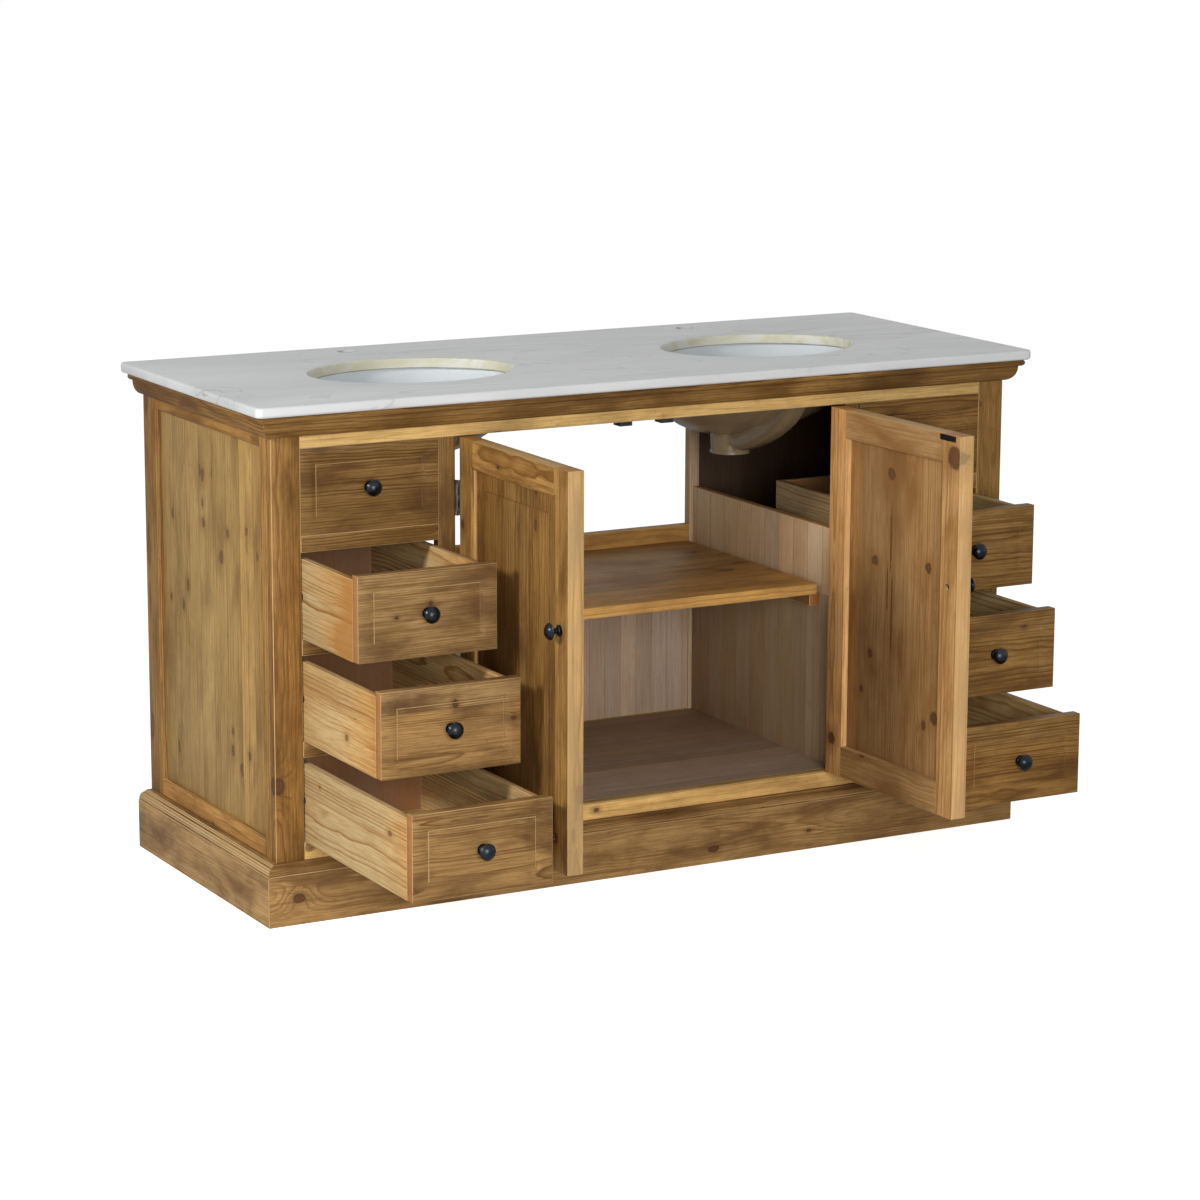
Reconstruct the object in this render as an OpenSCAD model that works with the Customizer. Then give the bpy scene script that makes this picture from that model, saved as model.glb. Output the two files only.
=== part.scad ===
// Double basin vanity unit: pine cabinet, marble top, two undermount basins,
// six drawers on wooden runners and two hinged doors, modelled partly open.
// Origin: floor level at the middle of the cabinet. Fronts face -Y.

/* [Marble top] */
// Width of the marble slab
top_w = 1524; // [1480:1:1700]
// Depth of the marble slab
top_d = 608; // [600:1:700]
// Thickness of the marble slab
top_t = 18; // [12:1:30]
// How far the slab stands out past the back of the cabinet
top_back = 14; // [0:1:20]
// Plan radius of the slab corners
top_corner = 12; // [6:1:30]
// Rounding of the slab edges
top_ease = 5; // [1:0.5:6]
// Half length of the oval cut-outs
cut_a = 186; // [170:1:200]
// Half width of the oval cut-outs
cut_b = 144; // [130:1:150]
// Radius of the oval at its two ends
cut_end_r = 110; // [100:1:120]
// Radius of the tap holes
tap_r = 17.5; // [12:0.5:20]
// Distance of the tap holes from the back edge of the slab
tap_back = 61; // [45:1:80]

/* [Basins] */
// Distance of each basin centre from the middle
basin_x = 350; // [330:1:370]
// Basin centre behind (+) or in front of (-) the middle of the cabinet
basin_y = -35; // [-45:1:-20]
// How far the bowl stands back under the edge of the cut-out
basin_reveal = 5; // [2:1:8]
// Width of the rim that is glued under the slab
basin_rim = 17; // [12:1:22]
// Thickness of the rim
basin_rim_t = 8; // [6:1:12]
// Wall thickness of the bowl
basin_wall = 9; // [6:0.5:11]
// Depth of the bowl under the slab, outside
basin_depth = 154; // [148:1:160]
// Share of the rim size that is left at the bottom of the bowl
basin_foot = 0.22; // [0.2:0.01:0.26]
// How far down the walls of the bowl stay steep
basin_steep = 2.5; // [2.2:0.1:2.8]
// How round the bowl turns into its floor
basin_turn = 0.68; // [0.62:0.02:0.74]
// How late the bowl leans back towards its drain
basin_lean = 1.6; // [1.4:0.1:1.8]
// Drain centre behind the basin centre
drain_back = 95; // [85:1:98]
// Radius of the drain hole
drain_r = 22; // [18:0.5:24]
// Radius of the drain boss
boss_r = 35; // [30:1:38]
// Height of the drain boss under the bowl
boss_h = 39; // [32:1:44]
// Width of the overflow channel on the front of the bowl
channel_w = 44; // [36:1:50]
// How far the overflow channel stands out from the bowl
channel_rise = 30; // [24:1:32]
// Rounding of the overflow channel
channel_r = 14; // [10:1:16]

/* [Cabinet] */
// Width of the cabinet without mouldings
cab_w = 1446; // [1440:1:1460]
// Depth of the cabinet without mouldings
cab_d = 556; // [540:1:560]
// Height of the bottom rail's lower edge over the top of the plinth board
base_h = 105; // [100:1:115]
// Thickness of the face frame
frame_t = 20; // [18:1:24]
// Width of the outer stiles of the face frame
stile_w = 52; // [46:1:54]
// Width of the posts between doors and drawers
post_w = 31; // [26:1:36]
// Height of the rails between drawers
rail_h = 28; // [24:1:34]
// Height of each drawer opening
bay_h = 146; // [140:1:160]
// Height of the top rail
top_rail_h = 60; // [50:1:70]
// How far the bottom rail reaches down behind the plinth
rail_tuck = 32; // [20:1:40]
// Half width of the door opening
door_half = 387; // [380:1:395]
// Thickness of the side frames
side_t = 20; // [18:1:22]
// Width of the rear stile of a side frame
side_rear = 57; // [45:1:65]
// Width of the front stile of a side frame
side_front = 28; // [24:1:36]
// Height of the bottom rail of a side frame over the cabinet base
side_sill = 30; // [25:1:40]
// Depth of the side panel behind the frame
side_sink = 10; // [6:1:10]
// Overlap of the side panel in its rebate
rebate = 8; // [5:1:10]
// Thickness of the partitions
part_t = 16; // [12:1:18]
// Height of the partitions over the floor board
part_h = 436; // [400:1:460]
// Thickness of the floor board
floor_t = 18; // [15:1:22]
// Thickness of the back rails and posts
back_t = 20; // [18:1:24]
// Width of the back posts
back_post = 20; // [16:1:26]
// Thickness of the back panels
panel_t = 8; // [5:1:10]
// Height of the front stretcher under the slab
stretcher_t = 18; // [15:1:20]
// Depth of the front stretcher
stretcher_d = 46; // [40:1:50]

/* [Shelf] */
// Height of the shelf top over the floor board
shelf_z = 332; // [300:1:345]
// Thickness of the shelf
shelf_t = 20; // [15:1:22]
// Shelf front edge behind the face frame front
shelf_set = 68; // [60:1:80]
// Gap between the shelf ends and the partitions
shelf_gap = 11; // [2:1:14]
// Width and height of the cleats under the shelf
cleat = 22; // [18:1:28]
// Height of the rail behind the shelf over the shelf top
upstand = 31; // [20:1:40]

/* [Cornice and plinth] */
// How far the cornice stands out
cornice_out = 29; // [26:1:34]
// Height of the cornice
cornice_h = 39; // [36:1:44]
// Thickness of the plinth boards
plinth_t = 26; // [22:1:30]
// Height of the plinth boards
plinth_h = 88; // [84:1:92]
// Height of the ovolo cap on the plinth
cap_h = 16; // [14:1:18]
// Thickness of the centre brace and its foot
brace_t = 20; // [16:1:30]
// Hairline in the mitred corners of cornice and plinth
mitre = 0.1; // [0.05:0.05:0.5]

/* [Drawers] */
// Clearance of a drawer front at each end
drawer_side = 1.5; // [1.2:0.1:3]
// Clearance of a drawer front above and below
drawer_gap = 1.5; // [1:0.1:2.5]
// Thickness of the drawer fronts
front_t = 20; // [18:1:24]
// Length of a drawer from its face to its back
drawer_l = 470; // [440:1:480]
// Thickness of the drawer sides
box_t = 12; // [10:0.5:14]
// Clearance over the drawer sides
box_low = 10; // [8:1:20]
// Running clearance under the drawer sides
slide_gap = 0.3; // [0.2:0.05:0.6]
// Thickness of the drawer bottoms
bottom_t = 6; // [4:0.5:8]
// Depth of the grooves that hold the drawer bottoms
groove = 5; // [3:0.5:6]
// Frame left round the sunk field of a drawer front
field_in = 29; // [24:1:34]
// Depth of the sunk field
field_sink = 3; // [2:0.5:5]
// Width of the bevel round a sunk field
field_bevel = 7.5; // [4:0.5:10]
// How far the field rises again inside its sloping border
field_rise = 1.2; // [0.6:0.2:1.6]
// Thickness of the drawer runners
runner_t = 18; // [15:1:24]
// How far a runner reaches under the drawer side
runner_in = 18; // [15:1:24]
// Height of the guide on a runner
guide_h = 20; // [15:1:30]
// Clearance between a guide and the drawer side
guide_gap = 1; // [0.5:0.1:2]
// Radius of the black nylon side glides
glide_r = 7; // [5:0.5:9]

/* [Doors] */
// Clearance round each door
door_gap = 1.5; // [1.2:0.1:2]
// Thickness of the doors
door_t = 29; // [26:1:32]
// Width of the door stiles
door_stile = 48; // [44:1:56]
// Height of the door top rail
door_top = 50; // [42:1:60]
// Height of the door bottom rail
door_bottom = 56; // [48:1:70]
// Depth of the door panel behind the front face
door_sink = 9; // [7:0.5:10]
// Thickness of the door panel
door_panel_t = 8; // [6:1:9]
// Overlap of the door panel in the frame grooves
door_tongue = 8; // [5:1:12]
// Width of the flat border round the raised field
border = 30; // [22:1:36]
// Height of the raised field over the border
raised = 2; // [1:0.5:3]
// Height of the door knobs over the floor
knob_z = 537; // [480:1:560]

/* [Knobs] */
// Radius of the knob head
knob_r = 14; // [12:0.5:16]
// How far a knob stands out
knob_out = 27; // [24:1:30]
// Radius of the knob foot
knob_foot = 9.5; // [8:0.5:11]
// Radius of the knob neck
knob_neck = 4.8; // [4:0.2:5.5]
// Radius of the screw that holds a knob
screw_r = 2; // [1.5:0.25:2.5]
// Radius of the screw head
screw_head = 4.2; // [3.5:0.1:5]

/* [Hinges] */
// Height of a butt hinge
hinge_h = 60; // [50:1:76]
// Distance of the hinges from the door ends to their middle
hinge_end = 102.5; // [80:0.5:130]
// How far the hinge pins stand out in front of the face frame
pin_out = 5; // [4.5:0.1:6]
// Radius of the hinge pins
pin_r = 1.5; // [1.2:0.1:1.8]
// Radial clearance of the hinge pins
pin_fit = 0.05; // [0.02:0.01:0.1]
// Radius of the hinge knuckles
knuckle_r = 3.2; // [3:0.1:3.8]
// Number of knuckles
knuckles = 5; // [3:2:7]
// Gap between knuckles
knuckle_gap = 0.3; // [0.2:0.05:0.5]
// Thickness of the hinge leaves
leaf_t = 1.2; // [1:0.05:1.25]
// Gap between the closed leaves
leaf_gap = 0.3; // [0.2:0.05:0.4]
// Width of the hinge leaves past the knuckles
leaf_w = 18; // [12:1:22]

/* [Catches] */
// Distance of the catches from the middle
catch_x = 41; // [28:1:48]
// Length of a catch body
catch_l = 24; // [20:1:30]
// Depth of a catch body
catch_d = 24; // [18:1:28]
// Height of a catch body
catch_h = 13; // [9:1:15]
// Gap between a closed door and its catch
catch_gap = 3; // [2.5:0.5:5]
// Length of a strike plate
strike_l = 44; // [28:1:44]
// Distance of a strike plate from the free edge of the door
strike_in = 12; // [4:1:20]
// Height of a strike plate
strike_h = 10; // [8:1:12]
// Thickness of a strike plate
strike_t = 1.2; // [0.8:0.1:2]

/* [Pose of the model] */
// How far the lower drawer on the left is drawn out
out_l1 = 412; // [0:1:415]
// How far the middle drawer on the left is drawn out
out_l2 = 300; // [0:1:415]
// How far the upper drawer on the left is drawn out
out_l3 = 217; // [0:1:330]
// How far the lower drawer on the right is drawn out
out_r1 = 339; // [0:1:415]
// How far the middle drawer on the right is drawn out
out_r2 = 256; // [0:1:415]
// How far the upper drawer on the right is drawn out
out_r3 = 184; // [0:1:330]
// How far the left door is turned open
open_l = 90; // [0:1:94]
// How far the right door is turned open
open_r = 92; // [0:1:94]

/* [Hidden] */
$fn = 64;
eps = 0.01;
hx = cab_w / 2;
yf = -cab_d / 2;
yb = cab_d / 2;
yi = yf + frame_t;
yr = yb - back_t;
pitch = bay_h + rail_h;
floor_z = base_h + rail_h;
head_z = floor_z + 4 * bay_h + 3 * rail_h;
cab_z = head_z + top_rail_h;
slab_y = yb + top_back;
post_x = door_half + post_w;
bank_x = hx - stile_w;
bank_w = bank_x - post_x;
side_in = hx - side_t;
part_out = door_half + part_t;
shelf_top = floor_z + shelf_z;
shelf_x = door_half - shelf_gap;
field_y = yb - 8;
field_deep = field_sink - field_rise;
draw_w = bank_w - 2 * drawer_side;
draw_x = (post_x + bank_x) / 2;
pin_x = door_half - door_gap / 2;
pin_y = yf - pin_out;
door_w = door_half - door_gap - door_gap / 2;
door_lo = floor_z + door_gap;
door_hi = head_z - door_gap;
tap_y = slab_y - tap_back;
panel_y = yr + 4;
boss_z = cab_z - basin_depth - boss_h;

// Block between two corners
module block(a, b) {
    translate(a) cube(b - a);
}

// Left and right copies
module both() {
    children();
    mirror([1, 0, 0]) children();
}

// Cutter with sloping walls: w by h at the bottom, wider by run at its mouth
// z is 0 at the mouth and -deep at the bottom
module bevelled(w, h, deep, run) {
    intersection() {
        rotate([90, 0, 0])
            linear_extrude(h + 2 * run + 2, center = true)
                polygon([[-w / 2, -deep], [w / 2, -deep], [w / 2 + run, 0],
                         [w / 2 + run, 1], [-w / 2 - run, 1], [-w / 2 - run, 0]]);
        rotate([90, 0, 90])
            linear_extrude(w + 2 * run + 2, center = true)
                polygon([[-h / 2, -deep], [h / 2, -deep], [h / 2 + run, 0],
                         [h / 2 + run, 1], [-h / 2 - run, 1], [-h / 2 - run, 0]]);
    }
}

// Oval from four arcs that run into each other
module oval(a, b, r_end) {
    off = a - r_end;
    r_side = (off * off + b * b - r_end * r_end) / (2 * (b - r_end));
    reach = sqrt(off * off + (r_side - b) * (r_side - b));
    xt = off * r_side / reach;
    intersection() {
        translate([0, b - r_side]) circle(r_side, $fn = 180);
        translate([0, r_side - b]) circle(r_side, $fn = 180);
        square([2 * xt, 4 * b], center = true);
    }
    for (s = [-1, 1]) translate([s * off, 0]) circle(r_end, $fn = 120);
}

// Half section of an eased slab edge, w wide
module eased(w, t, r) {
    square([w - r, t]);
    translate([w - r, r]) square([r, t - 2 * r]);
    translate([w - r, r]) circle(r);
    translate([w - r, t - r]) circle(r);
}

// Slab with rounded corners and eased edges, middle at the origin
module slab(w, d, t, corner, ease) {
    linear_extrude(t) {
        square([w - 2 * corner, d - 2 * corner], center = true);
    }
    for (i = [0, 1]) rotate(180 * i) {
        translate([-w / 2 + corner, -d / 2 + corner, 0])
            rotate([90, 0, 90]) mirror([1, 0, 0])
                linear_extrude(w - 2 * corner) eased(corner, t, ease);
        translate([w / 2 - corner, d / 2 - corner, 0])
            rotate([90, 0, 0])
                linear_extrude(d - 2 * corner) eased(corner, t, ease);
        translate([w / 2 - corner, d / 2 - corner, 0])
            rotate_extrude(angle = 90) eased(corner, t, ease);
        translate([w / 2 - corner, -d / 2 + corner, 0])
            rotate([0, 0, -90]) rotate_extrude(angle = 90) eased(corner, t, ease);
    }
}

module marble_top() {
    color("gainsboro") difference() {
        translate([0, slab_y - top_d / 2, cab_z]) slab(top_w, top_d, top_t, top_corner, top_ease);
        for (s = [-1, 1]) {
            translate([s * basin_x, basin_y, cab_z - 1])
                linear_extrude(top_t + 2) oval(cut_a, cut_b, cut_end_r);
            translate([s * basin_x, tap_y, cab_z - 1]) cylinder(r = tap_r, h = top_t + 2);
        }
    }
}

// Radius share of the bowl at depth share t, and the drift of its rings to the drain
function bowl_share(t) = basin_foot + (1 - basin_foot) * pow(1 - pow(t, basin_steep), basin_turn);
function bowl_drift(t) = drain_back * pow(t, basin_lean);

// Front line of the bowl in its middle plane, the way it faces there, and a point in front of it
function bowl_front(t) =
    [-(cut_b + basin_reveal + basin_wall) * bowl_share(t) + bowl_drift(t), -basin_depth * t];
function bowl_out(t) = let (d = bowl_front(t + 0.004) - bowl_front(t - 0.004)) [d[1], -d[0]] / norm(d);
function before(t, o) = bowl_front(t) + bowl_out(t) * o;

// Lofted bowl solid: rings of an oval that shrinks and drifts back with depth
module bowl(a, b, depth, lift) {
    seg = 48;
    rings = 12;
    pts = [for (i = [0 : rings]) let (t = sin(90 * i / rings))
           for (j = [0 : seg - 1]) let (u = 360 * j / seg)
           [a * bowl_share(t) * cos(u), b * bowl_share(t) * sin(u) + bowl_drift(t),
            i == 0 ? lift : -depth * t]];
    walls = [for (i = [0 : rings - 1]) for (j = [0 : seg - 1]) let (k = (j + 1) % seg)
             for (f = [0, 1]) f == 0
             ? [i * seg + j, i * seg + k, (i + 1) * seg + k]
             : [i * seg + j, (i + 1) * seg + k, (i + 1) * seg + j]];
    polyhedron(pts, concat(walls, [[for (j = [seg - 1 : -1 : 0]) j]],
                           [[for (j = [0 : seg - 1]) rings * seg + j]]));
}

// Rounded section of the overflow channel, standing out by o from the bowl, as [across, outward]
function channel_section(o) = let (h = channel_w / 2 - channel_r) concat(
    [[-h - channel_r, -4]],
    [for (a = [0 : 18 : 90]) [-h - channel_r * cos(a), o - channel_r + channel_r * sin(a)]],
    [for (a = [90 : -18 : 0]) [h + channel_r * cos(a), o - channel_r + channel_r * sin(a)]],
    [[h + channel_r, -4]]);

// Overflow channel: a rounded bulge from the front of the rim under the bowl to the drain boss
module overflow_channel() {
    steps = [0.14, 0.24, 0.35, 0.46, 0.57, 0.67, 0.76, 0.84, 0.91, 0.96, 0.985];
    n = len(steps);
    seg = len(channel_section(channel_rise));
    lines = [for (t = steps) [for (p = channel_section(channel_rise * min(1, 0.34 + 1.3 * t)))
             let (f = before(t, p[1])) [p[0], f[0], f[1]]]];
    reach = drain_back - bowl_front(steps[n - 1])[0];
    last = [for (p = lines[n - 1]) [p[0], p[1] + reach, p[2]]];
    pts = [for (ring = concat(lines, [last])) for (p = ring) p];
    walls = [for (i = [0 : n - 1]) for (j = [0 : seg - 1]) let (k = (j + 1) % seg)
             for (f = [0, 1]) f == 0
             ? [i * seg + j, i * seg + k, (i + 1) * seg + k]
             : [i * seg + j, (i + 1) * seg + k, (i + 1) * seg + j]];
    polyhedron(pts, concat(walls, [[for (j = [seg - 1 : -1 : 0]) j]], [[for (j = [0 : seg - 1]) n * seg + j]]));
}

module basin(side) {
    in_a = cut_a + basin_reveal;
    in_b = cut_b + basin_reveal;
    translate([side * basin_x, basin_y, cab_z]) difference() {
        union() {
            translate([0, 0, -basin_rim_t])
                linear_extrude(basin_rim_t) oval(in_a + basin_rim, in_b + basin_rim, cut_end_r + basin_rim);
            translate([0, 0, -basin_rim_t / 2])
                bowl(in_a + basin_wall, in_b + basin_wall, basin_depth - basin_rim_t / 2, 0);
            translate([0, drain_back, -basin_depth - boss_h]) {
                cylinder(r1 = boss_r, r2 = boss_r + 4, h = boss_h + basin_wall * 3);
                cylinder(r = boss_r + 2.5, h = 4);
            }
            overflow_channel();
        }
        bowl(in_a, in_b, basin_depth - basin_wall, 1);
        translate([0, drain_back, -basin_depth - boss_h - 1]) cylinder(r = drain_r, h = boss_h + basin_depth / 2);
    }
}

module basin_left() { color("white") basin(-1); }
module basin_right() { color("white") basin(1); }

// Outline of the cornice, x outwards from the cabinet and y down from the slab
module cornice_section() {
    nose = 6;
    step = 9;
    toe = 2;
    drop = 2 * nose + 2;
    n = 10;
    roll = [for (i = [0 : n]) let (s = 180 * i / n)
            [cornice_out - nose + nose * sin(s), -nose + nose * cos(s)]];
    ovolo = [for (i = [0 : n]) let (s = 90 * i / n)
             [toe + (cornice_out - step - toe) * cos(s), -drop - (cornice_h - drop) * sin(s)]];
    polygon(concat([[0, 0]], roll, [[cornice_out - step, -2 * nose]], ovolo, [[0, -cornice_h]]));
}

// Outline of the plinth cap, x outwards from the cabinet and y up from the board
module cap_section() {
    r = cap_h - 5;
    difference() {
        square([plinth_t - 1.5, cap_h]);
        translate([plinth_t - 1.5 - r, 2 + r]) square([r + 1, cap_h]);
        translate([plinth_t - 1.5 - r, 2]) difference() {
            square([r + 1, r + eps]);
            circle(r);
        }
        translate([plinth_t - 1.5 - r - 3, cap_h - 1.5]) square([r + 5, 3]);
    }
}

// Three mitred lengths of a moulding round the front and both sides
module mitred(out) {
    below = 2 * base_h;
    tall = 2 * cab_z;
    intersection() {
        translate([0, yf, 0]) rotate([90, 0, -90]) linear_extrude(cab_w + 2 * out + 2, center = true) children();
        translate([0, 0, -below]) linear_extrude(below + tall)
            polygon([[mitre - hx, yf], [hx - mitre, yf], [hx + out - mitre, yf - out], [mitre - hx - out, yf - out]]);
    }
    both() intersection() {
        translate([hx, 0, 0]) rotate([90, 0, 0]) linear_extrude(cab_d + 2 * out + 2, center = true) children();
        translate([0, 0, -below]) linear_extrude(below + tall)
            polygon([[hx, yf], [hx, yb], [hx + out, yb], [hx + out, yf - out]]);
    }
}

module cornice() {
    color("peru") translate([0, 0, cab_z]) mitred(cornice_out) cornice_section();
}

module plinth() {
    color("peru") mitred(plinth_t) square([plinth_t, plinth_h]);
}

module plinth_cap() {
    color("peru") translate([0, 0, plinth_h]) mitred(plinth_t) cap_section();
}

module face_stiles() {
    color("peru") both() block([bank_x, yf, 0], [hx, yi, cab_z]);
}

// Shallow beds for the hinge leaves in the posts
module leaf_beds() {
    bed = (leaf_t * 2 + leaf_gap - door_gap) / 2;
    for (z = [door_lo + hinge_end, door_hi - hinge_end])
        block([door_half - eps, yf - eps, z - hinge_h / 2],
              [door_half + bed, pin_y + knuckle_r + leaf_w, z + hinge_h / 2]);
}

module face_posts() {
    color("peru") both() difference() {
        block([door_half, yf, floor_z], [post_x, yi, head_z]);
        leaf_beds();
    }
}

module top_rail() {
    color("tan") block([-bank_x, yf, head_z], [bank_x, yi, cab_z]);
}

module bottom_rail() {
    color("peru") block([-bank_x, yf, base_h - rail_tuck], [bank_x, yi, floor_z]);
}

module drawer_rails() {
    for (k = [1 : 3])
        block([post_x, yf, floor_z + k * pitch - rail_h], [bank_x, yi, floor_z + k * pitch]);
}

module drawer_rails_left() { color("peru") mirror([1, 0, 0]) drawer_rails(); }
module drawer_rails_right() { color("peru") drawer_rails(); }

// Board with a sunk field, width w and height h, face towards -Y at y = 0
module sunk_front(w, h, t) {
    difference() {
        translate([-w / 2, 0, 0]) cube([w, t, h]);
        translate([0, 0, h / 2]) rotate([90, 0, 0])
            bevelled(w - 2 * field_in, h - 2 * field_in, field_sink, field_bevel);
        translate([0, t / 2, h / 2]) rotate([90, 0, 0])
            cylinder(r = screw_r + 0.25, h = t + 2, center = true);
    }
    edge = field_in + 0.6;
    difference() {
        translate([edge - w / 2, field_deep, edge]) cube([w - 2 * edge, field_rise + eps, h - 2 * edge]);
        translate([0, t / 2, h / 2]) rotate([90, 0, 0])
            cylinder(r = screw_r + 0.25, h = t + 2, center = true);
    }
}

// Knob for a front of thickness t, foot on y = 0 and head towards -Y
module knob(t) {
    cap = knob_r * 1.15;
    rotate([90, 0, 0]) rotate_extrude() {
        square([knob_foot, 2]);
        difference() {
            square([knob_foot - 1.5, 4.5]);
            translate([knob_foot - 1.5, 4.5]) circle(2.5);
        }
        square([knob_neck, knob_out - 6]);
        intersection() {
            translate([0, knob_out - cap]) circle(cap, $fn = 96);
            translate([0, knob_out - 9.5]) square([knob_r, 10]);
        }
        intersection() {
            translate([0, knob_out - 8]) circle(knob_r, $fn = 96);
            translate([0, knob_out - 13]) square([knob_r, 5]);
            translate([0, knob_out - 13]) polygon([[0, 0], [knob_neck + 1, 0], [knob_r, 3.5], [knob_r, 6], [0, 6]]);
        }
    }
    rotate([-90, 0, 0]) {
        translate([0, 0, -1]) cylinder(r = screw_r, h = t + 1 + eps);
        translate([0, 0, t]) cylinder(r1 = screw_head, r2 = screw_head - 1, h = 2);
    }
}

module false_front(side) {
    translate([side * draw_x, yf, floor_z + 3 * pitch]) sunk_front(bank_w, bay_h, frame_t);
}

module false_front_left() { color("peru") false_front(-1); }
module false_front_right() { color("peru") false_front(1); }

module false_knobs() {
    color("dimgray") both()
        translate([draw_x, yf + field_deep, floor_z + 3 * pitch + bay_h / 2]) knob(frame_t - field_deep);
}

// Side frame of the right side, with a bevelled opening and a rebate inside
module side_frame() {
    y0 = yi + side_front;
    y1 = yb - side_rear;
    z0 = base_h + side_sill;
    difference() {
        block([side_in, yi, 0], [hx, yb, cab_z]);
        block([side_in - 1, y0, z0], [hx + 1, y1, head_z]);
        block([side_in - 1, y0 - rebate, z0 - rebate], [hx - side_sink, y1 + rebate, head_z + rebate]);
        translate([hx, (y0 + y1) / 2, (z0 + head_z) / 2]) rotate([90, 0, 90])
            bevelled(y1 - y0, head_z - z0, side_sink * 0.35, side_sink * 0.3);
    }
}

module side_frame_left() { color("peru") mirror([1, 0, 0]) side_frame(); }
module side_frame_right() { color("peru") side_frame(); }

// Glued-up panel of the right side, flat, held in the rebate of its frame
module side_panel() {
    y0 = yi + side_front - rebate;
    y1 = yb - side_rear + rebate;
    z0 = base_h + side_sill - rebate;
    z1 = head_z + rebate;
    block([side_in, y0, z0], [hx - side_sink, y1, z1]);
}

module side_panel_left() { color("burlywood") mirror([1, 0, 0]) side_panel(); }
module side_panel_right() { color("burlywood") side_panel(); }

module partition() {
    block([door_half, yi, floor_z], [part_out, yr, floor_z + part_h]);
}

module partition_left() { color("tan") mirror([1, 0, 0]) partition(); }
module partition_right() { color("tan") partition(); }

module floor_board() {
    color("tan") block([-side_in, yi, floor_z - floor_t], [side_in, yr, floor_z]);
}

module shelf() {
    color("sandybrown") block([-shelf_x, yf + shelf_set, shelf_top - shelf_t], [shelf_x, yr, shelf_top]);
}

module shelf_cleats() {
    color("tan") both()
        block([door_half - cleat, yf + shelf_set + 8, shelf_top - shelf_t - cleat],
              [door_half, yr, shelf_top - shelf_t]);
}

module back_posts() {
    color("tan") both()
        block([door_half - 7, yr, floor_z], [door_half - 7 + back_post, yb, head_z]);
}

module back_rails() {
    color("tan") {
        block([-side_in, yr, head_z], [side_in, yb, cab_z]);
        block([-side_in, yr, base_h - rail_tuck], [side_in, yb, floor_z]);
        block([-door_half + 7, yr, shelf_top - shelf_t], [door_half - 7, yb, shelf_top + upstand]);
    }
}

module back_panels() {
    color("tan") {
        both() block([door_half - 7 + back_post, panel_y, floor_z], [side_in, panel_y + panel_t, head_z]);
        block([-door_half + 7, panel_y, floor_z], [door_half - 7, panel_y + panel_t, shelf_top - shelf_t]);
    }
}

module front_stretcher() {
    color("tan") block([-side_in, yi, head_z], [side_in, yi + stretcher_d, head_z + stretcher_t]);
}

// Runners and guides of the right bank
module runners() {
    end_in = draw_x + draw_w / 2;
    end_out = draw_x - draw_w / 2;
    for (k = [0 : 2]) {
        z = floor_z + k * pitch;
        translate([0, yi, 0]) rotate([-90, 0, 0]) linear_extrude(panel_y - yi) {
            // outer side
            polygon(k == 0
                ? [[side_in, -z], [end_in + guide_gap, -z], [end_in + guide_gap, -z - guide_h], [side_in, -z - guide_h]]
                : [[side_in, -z + runner_t], [end_in - runner_in, -z + runner_t], [end_in - runner_in, -z],
                   [end_in + guide_gap, -z], [end_in + guide_gap, -z - guide_h], [side_in, -z - guide_h]]);
            // partition side
            polygon(k == 0
                ? [[part_out, -z], [end_out - guide_gap, -z], [end_out - guide_gap, -z - guide_h], [part_out, -z - guide_h]]
                : [[part_out, -z + runner_t], [end_out + runner_in, -z + runner_t], [end_out + runner_in, -z],
                   [end_out - guide_gap, -z], [end_out - guide_gap, -z - guide_h], [part_out, -z - guide_h]]);
        }
    }
}

module runners_left() { color("tan") mirror([1, 0, 0]) runners(); }
module runners_right() { color("tan") runners(); }

// Black nylon glides on the frame edges beside the drawers
module drawer_glides() {
    thick = drawer_side - 0.3;
    color("#202020") both() for (k = [0 : 2]) {
        z = floor_z + k * pitch;
        for (e = [[bank_x - thick, 0], [post_x, 0]])
            translate([e[0], yf + glide_r / 2, z + bay_h / 2]) rotate([0, 90, 0]) cylinder(r = glide_r, h = thick);
    }
}

module centre_brace() {
    color("tan") block([-brace_t / 2, yi, 0], [brace_t / 2, yr, floor_z - floor_t]);
}

module door_catches() {
    color("#202020") both() difference() {
        block([catch_x - catch_l / 2, yf + door_t + catch_gap, head_z - catch_h],
              [catch_x + catch_l / 2, yf + door_t + catch_gap + catch_d, head_z]);
        block([catch_x - catch_l / 2 + 5, yf + door_t + catch_gap - 1, head_z - catch_h + 3],
              [catch_x + catch_l / 2 - 5, yf + door_t + catch_gap + 2, head_z - 3]);
    }
}

// One hinge around the pin at x = pin_x: frame side (part 0) or door side (part 1)
module hinge(part, z) {
    kh = hinge_h / knuckles;
    leaf_x = leaf_gap / 2;
    y1 = knuckle_r + leaf_w;
    lo = z - hinge_h / 2;
    translate([pin_x, pin_y, lo]) {
        difference() {
            union() {
                for (i = [0 : knuckles - 1]) if (i % 2 == part)
                    translate([0, 0, i * kh + (i == 0 ? 0 : knuckle_gap / 2)]) {
                        kz = kh - (i == 0 || i == knuckles - 1 ? knuckle_gap / 2 : knuckle_gap);
                        cylinder(r = knuckle_r, h = kz);
                        mirror([part, 0, 0]) block([leaf_x, 0, 0], [leaf_x + leaf_t, knuckle_r + 1, kz]);
                    }
                mirror([part, 0, 0]) block([leaf_x, knuckle_r + 0.4, 0], [leaf_x + leaf_t, y1, hinge_h]);
            }
            translate([0, 0, -1]) cylinder(r = part == 0 ? pin_r : pin_r + pin_fit, h = hinge_h + 2);
        }
        if (part == 0) cylinder(r = pin_r, h = hinge_h);
    }
}

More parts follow.
